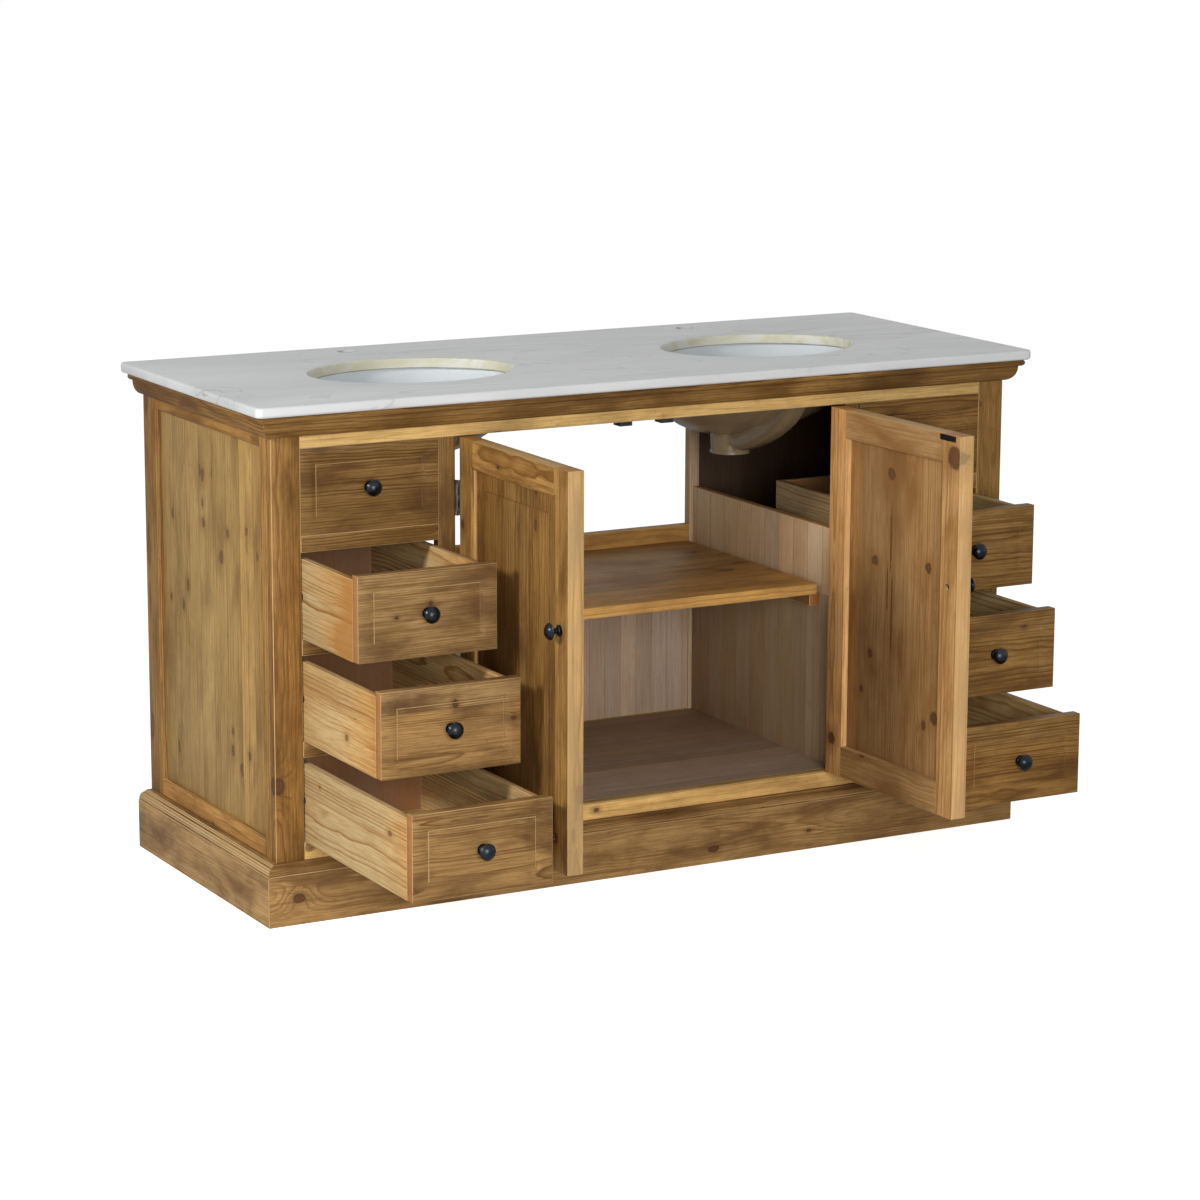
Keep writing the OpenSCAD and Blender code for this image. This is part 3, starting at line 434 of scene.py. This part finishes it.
def ceramic():
    """White glazed ceramic with the slight unevenness of its glaze; its outside is painted dark brown as
    painted shade.
    """
    made, g, shader = new_finish("white glaze")
    place = g.add("ShaderNodeTexCoord").outputs["Object"]
    rub = g.use(HAND_RUB, Place=place, Amount=1.0)
    flow = g.noise(place, 14.0, 2.0, 0.5)
    outside = g.add("ShaderNodeAttribute", attribute_name="outside").outputs["Fac"]
    glaze = g.mix(rub["Cloud"], (0.84, 0.88, 0.90), (0.80, 0.84, 0.86))
    # Painted shade: the outside of the bowl is given a dark brown
    painted_shade_under = g.mix(rub["Cloud"], (0.225, 0.168, 0.098), (0.185, 0.13, 0.07))
    g.put(shader.inputs["Base Color"], g.mix(outside, glaze, painted_shade_under))
    g.put(shader.inputs["Roughness"], g.times_plus(outside, 0.1, g.times_plus(rub["Cloud"], 0.05, 0.12)))
    g.put(shader.inputs["Coat Weight"], g.times(g.minus(1.0, outside), 0.3))
    bump(g, shader, flow, 0.0006, 0.12)
    return made


def dark_metal(name, colour, worn, rough):
    """Blackened metal that is rubbed on its high spots."""
    made, g, shader = new_finish(name)
    place = g.add("ShaderNodeTexCoord").outputs["Object"]
    rub = g.use(HAND_RUB, Place=g.vector("SCALE", place, scale=4.0), Amount=1.0)
    speck = g.noise(place, 900.0, 2.0, 0.5)
    g.put(shader.inputs["Base Color"], g.mix(g.times(rub["Cloud"], 0.4), colour, worn))
    g.put(shader.inputs["Roughness"], g.times_plus(rub["Cloud"], 0.12, g.times_plus(speck, 0.08, rough)))
    shader.inputs["Metallic"].default_value = 0.85
    bump(g, shader, speck, 0.00006, 0.3)
    return made


def black_nylon():
    """Moulded nylon with a faint grey bloom."""
    made, g, shader = new_finish("black nylon")
    place = g.add("ShaderNodeTexCoord").outputs["Object"]
    rub = g.use(HAND_RUB, Place=place, Amount=1.0)
    g.put(shader.inputs["Base Color"], g.mix(rub["Cloud"], (0.012, 0.011, 0.010), (0.03, 0.028, 0.026)))
    g.put(shader.inputs["Roughness"], g.times_plus(rub["Dents"], 0.1, 0.45))
    bump(g, shader, rub["Dents"], 0.0001, 0.3)
    return made


# Knots that everyone sees, in metres: the place, then the reach along each axis
FRONT_KNOTS = (
    ((-0.5363, -0.578, 0.4199), (0.0055, 0.02, 0.008)), ((-0.5388, -0.495, 0.5702), (0.004, 0.02, 0.004)),
    ((-0.6003, -0.495, 0.5512), (0.004, 0.02, 0.003)), ((-0.3812, -0.2941, 0.6531), (0.02, 0.006, 0.008)),
    ((-0.3812, -0.4248, 0.7699), (0.02, 0.005, 0.004)), ((-0.3812, -0.544, 0.6927), (0.02, 0.005, 0.011)),
    ((-0.3812, -0.6268, 0.1886), (0.02, 0.009, 0.01)), ((-0.3573, -0.6685, 0.2693), (0.01, 0.02, 0.018)),
    ((-0.3695, -0.6685, 0.202), (0.003, 0.02, 0.012)), ((0.1085, -0.3, 0.0263), (0.012, 0.03, 0.007)),
    ((0.3076, -0.3, 0.0349), (0.006, 0.03, 0.003)), ((0.6052, -0.534, 0.4238), (0.006, 0.02, 0.003)))
SIDE_KNOTS = (
    ((-0.711, 0.0375, 0.713), (0.02, 0.007, 0.012)), ((-0.711, 0.0364, 0.6297), (0.02, 0.006, 0.009)),
    ((-0.711, 0.1103, 0.5078), (0.02, 0.006, 0.011)), ((-0.711, 0.1327, 0.4685), (0.02, 0.006, 0.010)),
    ((-0.711, -0.0689, 0.6278), (0.02, 0.005, 0.008)), ((-0.711, -0.0772, 0.2514), (0.02, 0.006, 0.011)),
    ((-0.711, -0.0787, 0.2864), (0.02, 0.004, 0.007)), ((-0.711, -0.1498, 0.2577), (0.02, 0.006, 0.009)),
    ((-0.711, 0.1893, 0.4732), (0.02, 0.005, 0.007)), ((-0.711, 0.0398, 0.6636), (0.02, 0.004, 0.007)),
    ((-0.1147, -0.278, 0.1195), (0.006, 0.02, 0.004)))
DOOR_KNOTS = (
    ((0.3652, -0.6547, 0.7625), (0.03, 0.019, 0.021)), ((0.3567, -0.4108, 0.5435), (0.03, 0.011, 0.010)),
    ((0.3623, -0.5702, 0.557), (0.03, 0.010, 0.012)), ((0.3632, -0.5965, 0.296), (0.03, 0.014, 0.014)),
    ((0.3583, -0.4565, 0.7037), (0.03, 0.013, 0.012)), ((0.3567, -0.4, 0.375), (0.03, 0.008, 0.010)),
    ((0.3582, -0.458, 0.59), (0.03, 0.0034, 0.06)), ((0.3586, -0.4627, 0.45), (0.03, 0.0030, 0.08)),
    ((0.3584, -0.449, 0.50), (0.03, 0.0026, 0.05)), ((0.3529, -0.3023, 0.2006), (0.03, 0.011, 0.012)))
BOX_KNOTS = (
    ((-0.672, -0.4476, 0.351), (0.02, 0.007, 0.006)), ((-0.672, -0.6084, 0.2292), (0.02, 0.008, 0.005)),
    ((-0.672, -0.3389, 0.2426), (0.02, 0.004, 0.003)))
SHELF_KNOTS = (
    ((0.324, 0.149, 0.455), (0.016, 0.009, 0.02)), ((0.3535, 0.0232, 0.455), (0.01, 0.006, 0.02)))

# Finishes: early wood, late wood, knots and stain, as linear red, green and blue
STAINED = pine("waxed pine", (0.43, 0.233, 0.067), (0.14, 0.057, 0.011), (0.05, 0.024, 0.011),
               (0.125, 0.056, 0.014), strip=0.105, ring=0.0048, knot_spacing=0.095, knot_share=0.26,
               contrast=1.3, spread=0.25, grime=0.9, streaks=0.85, marks=FRONT_KNOTS)
FRONT_PINE = pine("waxed front pine", (0.405, 0.242, 0.09), (0.15, 0.070, 0.019),
                  (0.05, 0.024, 0.011), (0.115, 0.056, 0.02), strip=0.105, ring=0.0038, knot_spacing=0.095,
                  knot_share=0.2, contrast=1.2, spread=0.25, grime=1.0, streaks=0.95, marks=FRONT_KNOTS)
DOOR_INSIDE = pine("tan door pine", (0.48, 0.275, 0.105), (0.26, 0.115, 0.033), (0.06, 0.03, 0.014),
                   (0.25, 0.112, 0.032), strip=0.13, ring=0.006, knot_spacing=0.1, knot_share=0.15,
                   contrast=1.1, spread=0.2, grime=0.9, streaks=0.7, marks=DOOR_KNOTS)
# Painted shade: a near black finish for faces that lie in deep shade
PAINTED_SHADE = pine("dark bank inside", (0.05, 0.027, 0.014), (0.03, 0.015, 0.008), (0.02, 0.01, 0.006),
              (0.03, 0.016, 0.009), strip=0.0584, contrast=0.5)
SIDE_PINE = pine("waxed side pine", (0.46, 0.295, 0.106), (0.22, 0.116, 0.031), (0.08, 0.045, 0.019),
                 (0.17, 0.094, 0.030), strip=0.0584, ring=0.0048, knot_spacing=0.075, contrast=0.55,
                 grime=0.7, streaks=0.8, marks=SIDE_KNOTS)
RAW = pine("pale drawer pine", (0.57, 0.415, 0.205), (0.27, 0.135, 0.038), (0.12, 0.06, 0.022),
           (0.34, 0.18, 0.055), strip=0.083, ring=0.0062, knot_spacing=0.14, knot_share=0.25,
           contrast=1.3, spread=0.35, rough=0.55, wear=(0.60, 0.42, 0.2), soak=(0.34, 0.145, 0.032),
           marks=BOX_KNOTS)
# A greyer pine, also made darker as painted shade inside the drawers
DRAWER_BACK = pine("grey drawer back", (0.37, 0.285, 0.215), (0.25, 0.175, 0.12),
                   (0.18, 0.115, 0.07), (0.22, 0.15, 0.10), strip=0.083, ring=0.0045, contrast=0.5,
                   knot_share=0.03, spread=0.2, rough=0.6, grime=0.35, streaks=0.7, flecks=0.1)
INNER = pine("inner panelling", (0.47, 0.35, 0.25), (0.32, 0.215, 0.135), (0.24, 0.15, 0.08),
             (0.28, 0.18, 0.11), strip=0.034, ring=0.0042, knot_spacing=0.4, knot_share=0.03,
             contrast=0.5, spread=0.26, wave=0.002, rough=0.6, grime=0.3, streaks=0.7, flecks=0.1)
PARTITION = pine("partition pine", (0.50, 0.355, 0.215), (0.34, 0.215, 0.11), (0.24, 0.15, 0.08),
                 (0.29, 0.175, 0.08), strip=0.05, ring=0.0042, knot_spacing=0.4, knot_share=0.03,
                 contrast=0.5, spread=0.2, wave=0.002, rough=0.6, grime=0.35, streaks=0.7, flecks=0.1)
SHELF = pine("shelf pine", (0.50, 0.285, 0.088), (0.29, 0.14, 0.038), (0.12, 0.055, 0.022),
             (0.19, 0.09, 0.03), strip=0.11, ring=0.007, knot_share=0.4, contrast=0.9,
             spread=0.25, grime=0.85, streaks=0.7, marks=SHELF_KNOTS)
MARBLE = marble()
CERAMIC = ceramic()
CLEAT = pine("dark cleats", (0.26, 0.125, 0.05), (0.13, 0.055, 0.02), (0.05, 0.024, 0.011),
             (0.1, 0.045, 0.016), strip=0.09, ring=0.005, contrast=0.6)
KNOB = dark_metal("black knob", (0.016, 0.019, 0.024), (0.05, 0.055, 0.065), 0.2)
STRIKE = dark_metal("black strike steel", (0.014, 0.013, 0.012), (0.04, 0.038, 0.036), 0.42)
HINGE = dark_metal("hinge steel", (0.07, 0.064, 0.058), (0.19, 0.18, 0.165), 0.35)
NYLON = black_nylon()


# Boards from the model, with softened edges and their own grain
def pick(piece):
    """Makes a piece the only one that operators work on."""
    bpy.ops.object.select_all(action="DESELECT")
    piece.select_set(True)
    bpy.context.view_layer.objects.active = piece


def edit(piece, *steps):
    """Runs edit-mode operators on all of a piece's mesh."""
    pick(piece)
    bpy.ops.object.mode_set(mode="EDIT")
    for step in steps:
        bpy.ops.mesh.select_all(action="SELECT")
        step()
    bpy.ops.object.mode_set(mode="OBJECT")


def copy_node(node, name):
    """A merged copy of a node's mesh, flat faces joined again."""
    piece = bpy.data.objects.new(name, NODES[node].data.copy())
    bpy.context.scene.collection.objects.link(piece)
    piece.data.materials.clear()
    edit(piece,
         lambda: bpy.ops.mesh.remove_doubles(threshold=0.00002),
         lambda: bpy.ops.mesh.dissolve_limited(angle_limit=math.radians(0.6)))
    return piece


def soften(piece, width):
    """Rounds every edge where the faces turn by more than 30 degrees."""
    made = piece.modifiers.new("softened edges", "BEVEL")
    made.width = width
    made.segments = 2
    made.limit_method = "ANGLE"
    made.angle_limit = math.radians(30)
    pick(piece)
    bpy.ops.object.modifier_apply(modifier=made.name)


def smooth(piece, angle):
    """Shades every edge that turns by less than the angle as round."""
    pick(piece)
    bpy.ops.object.shade_smooth_by_angle(angle=math.radians(angle))


def islands(mesh):
    """The number of the separate solid that each vertex belongs to."""
    owner = list(range(len(mesh.vertices)))

    def root(i):
        while owner[i] != i:
            owner[i] = owner[owner[i]]
            i = owner[i]
        return i

    for edge in mesh.edges:
        a, b = root(edge.vertices[0]), root(edge.vertices[1])
        if a != b:
            owner[a] = b
    numbers = {}
    return [numbers.setdefault(root(i), len(numbers)) for i in range(len(owner))]


def turned(angle, side):
    """From the closed pose to the modelled pose of a door on that side."""
    pivot = Vector((side * PIN_X, PIN_Y, 0))
    swing = Matrix.Rotation(math.radians(side * angle), 4, "Z")
    return Matrix.Translation(pivot) @ swing @ Matrix.Translation(-pivot)


def lay_grain(piece, material, seed, rule, back, tone, arris, bare):
    """Writes board coordinates and finish values on every corner of the mesh.

    rule(centre) may give (board number, grain axis) for a face; otherwise each solid is one board that
    runs along its longest side. back turns a swung piece to its closed pose first. tone is one shade, or one
    for each board number. arris is the state of its bevels. bare is how far its narrow sides lack stain.
    """
    mesh = piece.data
    points = [back @ v.co for v in mesh.vertices]
    solid = islands(mesh)
    boards = {}
    keys = []
    for face in mesh.polygons:
        centre = back @ face.center
        number, axis = rule(centre) if rule else (0, None)
        key = (solid[face.vertices[0]], number, axis)
        keys.append(key)
        first = points[face.vertices[0]]
        low, high = boards.setdefault(key, (first.copy(), first.copy()))
        for i in face.vertices:
            for k in range(3):
                low[k] = min(low[k], points[i][k])
                high[k] = max(high[k], points[i][k])
    # A bevel is far smaller than a broad face, and the fourth largest stands for those
    wide = sorted((face.area for face in mesh.polygons), reverse=True)[min(3, len(mesh.polygons) - 1)]
    board = mesh.attributes.new("board", "FLOAT_VECTOR", "CORNER")
    finish = mesh.attributes.new("finish", "FLOAT_VECTOR", "CORNER")
    settings = {}
    strip = material["strip"]
    for key, (low, high) in boards.items():
        size = high - low
        order = sorted(range(3), key=lambda k: -size[k])
        if key[2] is not None:
            order.remove(key[2])
            order.insert(0, key[2])
        # Each board comes from its own place in the tree, and a narrow one stays clear of joint lines
        dice = random.Random("%s %s %s" % (seed, key[0], key[1]))
        spare = max(0.0, strip - size[order[1]] - size[order[2]])
        offset = Vector((dice.uniform(-20, 20), strip * dice.randint(-400, 400) + 0.5 * spare,
                         2.0 * dice.randint(1, 90)))
        shade = tone[key[1]] if isinstance(tone, dict) else tone
        settings[key] = (order, low, high, offset, shade)
    place = [0.0] * (3 * len(mesh.loops))
    value = [0.0] * (3 * len(mesh.loops))
    turn = back.to_3x3()
    for face, key in zip(mesh.polygons, keys):
        order, low, high, offset, shade = settings[key]
        normal = turn @ face.normal
        end = 1.0 if abs(normal[order[0]]) > 0.8 else 0.0
        leans = sorted(abs(part) for part in normal)
        slope = leans[2] < 0.995
        straight = leans[0] < 0.06
        rubbed = arris if slope and straight and face.area < 0.05 * wide else 0.0
        middle = (back @ face.center)[2]
        # Downward bevels of a front's raised field are painted dark as painted shade
        if rubbed and normal[2] < -0.2 and low[2] + FIELD_EDGE < middle < high[2] - FIELD_EDGE:
            rubbed = SHADED_BEVEL
        lighter = bare if abs(normal[order[1]]) > 0.9 else 0.0
        if lighter:
            rubbed = 0.55 * bare
        for loop in face.loop_indices:
            p = points[mesh.loops[loop].vertex_index]
            for k in range(3):
                place[3 * loop + k] = p[order[k]] - low[order[k]] + offset[k]
            # A narrow side carries on the strips of the broad one
            if abs(normal[order[1]]) > 0.8:
                place[3 * loop + 1] += p[order[2]] - low[order[2]]
            value[3 * loop:3 * loop + 3] = (shade + 0.4 * lighter, end, rubbed)
    board.data.foreach_set("vector", place)
    finish.data.foreach_set("vector", value)


def stand_in(piece, node, material, body):
    """Puts a dressed copy in the place of its node, on the body that the node rides on."""
    piece.data.materials.append(material)
    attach(piece, body)
    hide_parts(node)
    return piece


def timber(node, material, body, tone, edge=0.0009, cuts=(), rule=None, back=None, arris=RUBBED,
           bare=0.0):
    """Replaces a wooden node by a copy with joint lines, softened edges and grain.

    cuts are planes of the closed pose, as (point, normal), where one board meets the next.
    """
    piece = copy_node(node, "wood." + node)
    back = back or Matrix.Identity(4)
    forward = back.inverted()
    for point, normal in cuts:
        co = forward @ Vector(point)
        no = forward.to_3x3() @ Vector(normal)
        edit(piece, lambda: bpy.ops.mesh.bisect(plane_co=co, plane_no=no))
    soften(piece, edge)
    smooth(piece, 30)
    lay_grain(piece, material, node, rule, back, tone, arris, bare)
    return stand_in(piece, node, material, body)


def second_finish(piece, material, chosen):
    """Another finish for the faces that chosen(face) picks; returns them."""
    piece.data.materials.append(material)
    slot = len(piece.data.materials) - 1
    faces = [face for face in piece.data.polygons if chosen(face)]
    for face in faces:
        face.material_index = slot
    return faces


def reface(piece, material, back, way, shade):
    """Another finish and tone for the faces that look one way along Y when the door is closed."""
    turn = back.to_3x3()
    faces = second_finish(piece, material, lambda face: way * (turn @ face.normal).y > 0.5)
    finish = piece.data.attributes["finish"].data
    for face in faces:
        for loop in face.loop_indices:
            finish[loop].vector[0] = shade


def dress(node, material):
    """Gives a node of the model its finish."""
    mesh = NODES[node].data
    mesh.materials.clear()
    mesh.materials.append(material)


def rounded(node, material, body, angle=35):
    """Replaces a round node by a merged copy that shades smoothly."""
    piece = copy_node(node, "smooth." + node)
    smooth(piece, angle)
    return stand_in(piece, node, material, body)


def ease_cutouts(slab):
    """Rounds the top edge of the basin cut-outs, as the stone mason's wheel leaves it."""
    mesh = slab.data
    top = max(v.co.z for v in mesh.vertices)
    pick(slab)
    bpy.ops.object.mode_set(mode="EDIT")
    bpy.ops.mesh.select_all(action="DESELECT")
    bpy.ops.object.mode_set(mode="OBJECT")

    def on_rim(v):
        dx = abs(v.co.x) - BASIN_X
        dy = v.co.y - BASIN_Y
        near = 0.1 < math.hypot(dx, dy) < CUTOUT_HALF_X + 0.004 and abs(dy) < CUTOUT_HALF_Y + 0.002
        return near and v.co.z > top - 0.0002

    for edge in mesh.edges:
        a, b = (mesh.vertices[i] for i in edge.vertices)
        edge.select = on_rim(a) and on_rim(b)
    bpy.ops.object.mode_set(mode="EDIT")
    bpy.ops.mesh.select_mode(type="EDGE")
    bpy.ops.mesh.bevel(offset=0.0028, segments=4, affect="EDGES")
    bpy.ops.object.mode_set(mode="OBJECT")


# Rules that split a node's faces into boards: 1 and 2 are upright, 3 and 4 lie across
def side_frame_rule(c):
    if c.y < SIDE_STILE_FRONT:
        return 1, 2
    if c.y > SIDE_STILE_BACK:
        return 2, 2
    return (3, 1) if c.z > RAIL_SPLIT_Z else (4, 1)


def door_rule(side):
    """The rule for a closed door's frame, with the places where its two stiles end."""
    by_hinge = DOOR_HALF - DOOR_STILE
    by_knob = DOOR_HALF - DOOR_WIDTH + DOOR_STILE

    def rule(c):
        x = side * c.x
        if x > by_hinge:
            return 1, 2
        if x < by_knob:
            return 2, 2
        return (3, 0) if c.z > RAIL_SPLIT_Z else (4, 0)

    return rule, by_hinge, by_knob


# Cabinet boards; the top and bottom rails take high tones as painted light, and the face posts a low tone as
# painted shade
for node, wood, shade in (
        ("face_stiles", STAINED, 0.4), ("face_posts", STAINED, 0.14), ("top_rail", SIDE_PINE, 1.36),
        ("bottom_rail", SIDE_PINE, 1.46), ("drawer_rails_left", STAINED, 0.36),
        ("drawer_rails_right", STAINED, 0.36), ("cornice", STAINED, 0.33), ("plinth", FRONT_PINE, 0.74),
        ("plinth_cap", FRONT_PINE, 0.6)):
    timber(node, wood, "cabinet", shade)
for side, name in ((-1, "left"), (1, "right")):
    # The false fronts take a low tone, partly as painted shade below the slab's overhang
    timber("false_front_" + name, STAINED, "cabinet", 0.17)
    timber("side_frame_" + name, STAINED, "cabinet", {1: 0.5, 2: 0.5, 3: 0.48, 4: 0.56},
           cuts=[((0, SIDE_STILE_FRONT, 0), (0, 1, 0)), ((0, SIDE_STILE_BACK, 0), (0, 1, 0))],
           rule=side_frame_rule)
    panel = timber("side_panel_" + name, SIDE_PINE, "cabinet", 0.5, edge=0.0005,
                   rule=lambda c: (1, 2))
    # The side panel's inner faces get the painted shade finish
    second_finish(panel, PAINTED_SHADE, lambda face: side * face.normal.x < -0.9)
    # Above the shelf the partition's boards are paler than below it: the lower tone is painted shade from the
    # shelf
    timber("partition_" + name, PARTITION, "cabinet", {1: 0.9, 2: 0.36},
           cuts=[((0, 0, SHELF_Z), (0, 0, 1))], rule=lambda c: (1, 2) if c.z > SHELF_Z else (2, 2))
    timber("runners_" + name, RAW, "cabinet", 0.35, edge=0.0005)
timber("shelf", SHELF, "cabinet", 0.72, edge=0.0012)
timber("floor_board", INNER, "cabinet", 0.42)
for node, wood in (("shelf_cleats", CLEAT), ("back_posts", INNER), ("back_rails", SHELF),
                   ("front_stretcher", INNER), ("centre_brace", INNER)):
    timber(node, wood, "cabinet", 0.52)
backs = timber("back_panels", INNER, "cabinet", 0.55, rule=lambda c: (1, 2))
# The back panels' faces inside the banks get the painted shade finish
second_finish(backs, PAINTED_SHADE, lambda face: abs(face.center.x) > BANK_X and face.normal.y < -0.9)

# Doors: shades are those of the hinge stile, free stile, rails and panel
for side, name, angle, wood, shades in (
        (-1, "left", OPEN_LEFT, STAINED, (0.62, 0.48, 0.62, 0.27)),
        (1, "right", OPEN_RIGHT, DOOR_INSIDE, (0.85, 0.62, 0.42, 0.33))):
    body = "door_" + name
    back = turned(angle, side).inverted()
    rule, by_hinge, by_knob = door_rule(side)
    door = timber("door_frame_" + name, wood, body,
                  {1: shades[0], 2: shades[1], 3: shades[2], 4: shades[2]}, edge=0.0006,
                  cuts=[((side * by_hinge, 0, 0), (1, 0, 0)), ((side * by_knob, 0, 0), (1, 0, 0))],
                  rule=rule, back=back, bare=1.0)
    # The screw hole behind the knob is painted dark inside as painted shade
    corner_a, corner_b = (Vector(corner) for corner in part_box("door_knob_" + name))
    screw = back @ (0.5 * (corner_a + corner_b))
    second_finish(door, PAINTED_SHADE, lambda face: math.hypot((back @ face.center).x - screw.x,
                                                        (back @ face.center).z - screw.z) < SCREW_HOLE)
    # The bevels of the door panel's field are painted dark as painted shade
    field = timber("door_panel_" + name, wood, body, shades[3], edge=0.0006,
                   rule=lambda c: (1, 2), back=back, arris=SHADED_BEVEL)
    # Outside waxed like the fronts, inside tan
    way, other = (1, DOOR_INSIDE) if wood is STAINED else (-1, STAINED)
    reface(door, other, back, way, 0.5)
    reface(field, other, back, way, 0.3)
    rounded("door_knob_" + name, KNOB, body)
    fittings = rounded("door_fittings_" + name, HINGE, body)
    # The strike plate lies where the doors meet, far from the hinge
    second_finish(fittings, STRIKE, lambda face: abs((back @ face.center).x) < STRIKE_HALF)

# Drawers: the shades of front and box, and how far wax crept along the sides past the front
for key, shade, pale, crept in (("l1", 0.5, 0.56, -0.015), ("l2", 0.6, 0.6, 0.01), ("l3", 0.48, 0.48, 0.055),
                                ("r1", 0.3, 0.5, 0.0), ("r2", 0.34, 0.5, 0.0), ("r3", 0.36, 0.45, 0.0)):
    body = "drawer_" + key
    wood = FRONT_PINE if key[0] == "l" else STAINED
    timber("drawer_front_" + key, wood, body, shade, edge=0.0014)
    box = timber("drawer_box_" + key, RAW, body, pale, edge=0.0008)
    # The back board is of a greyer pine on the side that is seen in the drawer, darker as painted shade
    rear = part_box("drawer_box_" + key)[1][1]
    second_finish(box, DRAWER_BACK, lambda face: face.normal.y < -0.9 and face.center.y > rear - REAR_BOARD)
    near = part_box("drawer_front_" + key)[1][1]
    reach = box.data.attributes.new("from_front", "FLOAT", "POINT")
    for point in box.data.vertices:
        reach.data[point.index].value = point.co.y - near - crept
    rounded("drawer_knob_" + key, KNOB, body)

# Stone, ceramic and small metal pieces
slab = copy_node("marble_top", "stone.marble_top")
ease_cutouts(slab)
smooth(slab, 30)
stand_in(slab, "marble_top", MARBLE, "cabinet")
for side, name in ((-1, "basin_left"), (1, "basin_right")):
    bowl = rounded(name, CERAMIC, "cabinet", 40)
    # The underside and the outer wall have a thinner glaze, and are painted dark brown as painted shade
    outside = bowl.data.attributes.new("outside", "FLOAT", "FACE")
    for face in bowl.data.polygons:
        outward = Vector((face.center.x - side * BASIN_X, face.center.y - BASIN_Y, 0)).normalized()
        away = Vector((face.center.x - side * BASIN_X, face.center.y - DRAIN_Y, 0))
        boss = face.center.z < BOSS_TOP and away.length > DRAIN_RADIUS and face.normal.dot(away) > 0
        painted_shade_under = boss or face.normal.z < -0.3 or (face.normal.z < 0.2 and face.normal.dot(outward) > 0.2)
        outside.data[face.index].value = 1.0 if painted_shade_under else 0.0
rounded("false_knobs", KNOB, "cabinet")
rounded("hinge_frame_leaves", HINGE, "cabinet")
rounded("drawer_glides", NYLON, "cabinet")
dress("door_catches", NYLON)

# Floor, light and camera
bpy.ops.object.select_all(action="DESELECT")
bpy.ops.mesh.primitive_plane_add(size=60, location=(0, 0, 0))
floor = bpy.context.object
floor.name = "floor"
ground, g, shader = new_finish("pale floor")
shader.inputs["Roughness"].default_value = 0.9
shader.inputs["Specular IOR Level"].default_value = 0.1
g.put(shader.inputs["Base Color"], g.mix(g.noise(g.add("ShaderNodeTexCoord").outputs["Object"], 1.5, 2.0),
                                         (0.86, 0.86, 0.86), (0.88, 0.88, 0.88)))
# The floor looks a little brighter to the camera than the lamps make it
glow = g.add("ShaderNodeEmission")
rays = g.add("ShaderNodeLightPath")
g.put(glow.inputs["Strength"], g.times(rays.outputs["Is Camera Ray"], 0.83))
both = g.add("ShaderNodeAddShader")
ends = [n for n in ground.node_tree.nodes if n.type == "OUTPUT_MATERIAL"][0]
g.put(both.inputs[0], shader.outputs["BSDF"])
g.put(both.inputs[1], glow.outputs["Emission"])
g.put(ends.inputs["Surface"], both.outputs["Shader"])
floor.data.materials.append(ground)

world = bpy.data.worlds.new("white room")
bpy.context.scene.world = world
world.use_nodes = True
world.node_tree.nodes.clear()
g = Graph(world.node_tree)
# White where it is seen, also in reflections, and dimmer as a light on the piece
rays = g.add("ShaderNodeLightPath")
seen = g.math("MAXIMUM", rays.outputs["Is Camera Ray"],
              g.math("MAXIMUM", rays.outputs["Is Glossy Ray"], rays.outputs["Is Transmission Ray"]))
air = g.add("ShaderNodeBackground")
g.put(air.inputs["Color"], (1.0, 1.0, 1.0))
g.put(air.inputs["Strength"], g.fade(seen, 0.0, 1.0, 0.2, 1.0, smooth=False))
g.put(g.add("ShaderNodeOutputWorld").inputs["Surface"], air.outputs["Background"])


def lamp(name, place, aim, size, power):
    """A round lamp of that many watts, turned to its aim."""
    data = bpy.data.lights.new(name, "AREA")
    data.shape = "DISK"
    data.size = size
    data.energy = power
    made = bpy.data.objects.new(name, data)
    bpy.context.scene.collection.objects.link(made)
    made.location = place
    made.rotation_euler = (Vector(aim) - Vector(place)).to_track_quat("-Z", "Y").to_euler()


lamp("key from the left", (-3.9, -1.12, 2.27), (0, -0.35, 0.45), 0.8, 93)
lamp("front fill", (-1.5, -5.0, 1.35), (0.1, 0, 0.4), 2.4, 152)

yaw, pitch, roll = -0.50122, 0.20551, 0.00394
lens = bpy.data.cameras.new("camera")
lens.sensor_width = FILM
lens.lens = FOCAL / PICTURE * FILM
lens.clip_end = 100
eye = bpy.data.objects.new("camera", lens)
bpy.context.scene.collection.objects.link(eye)
eye.matrix_world = (Matrix.Translation(STAND) @ Matrix.Rotation(yaw, 4, "Z")
                    @ Matrix.Rotation(math.pi / 2 - pitch, 4, "X") @ Matrix.Rotation(roll, 4, "Z"))
bpy.context.scene.camera = eye
bpy.context.scene.view_settings.view_transform = "Standard"
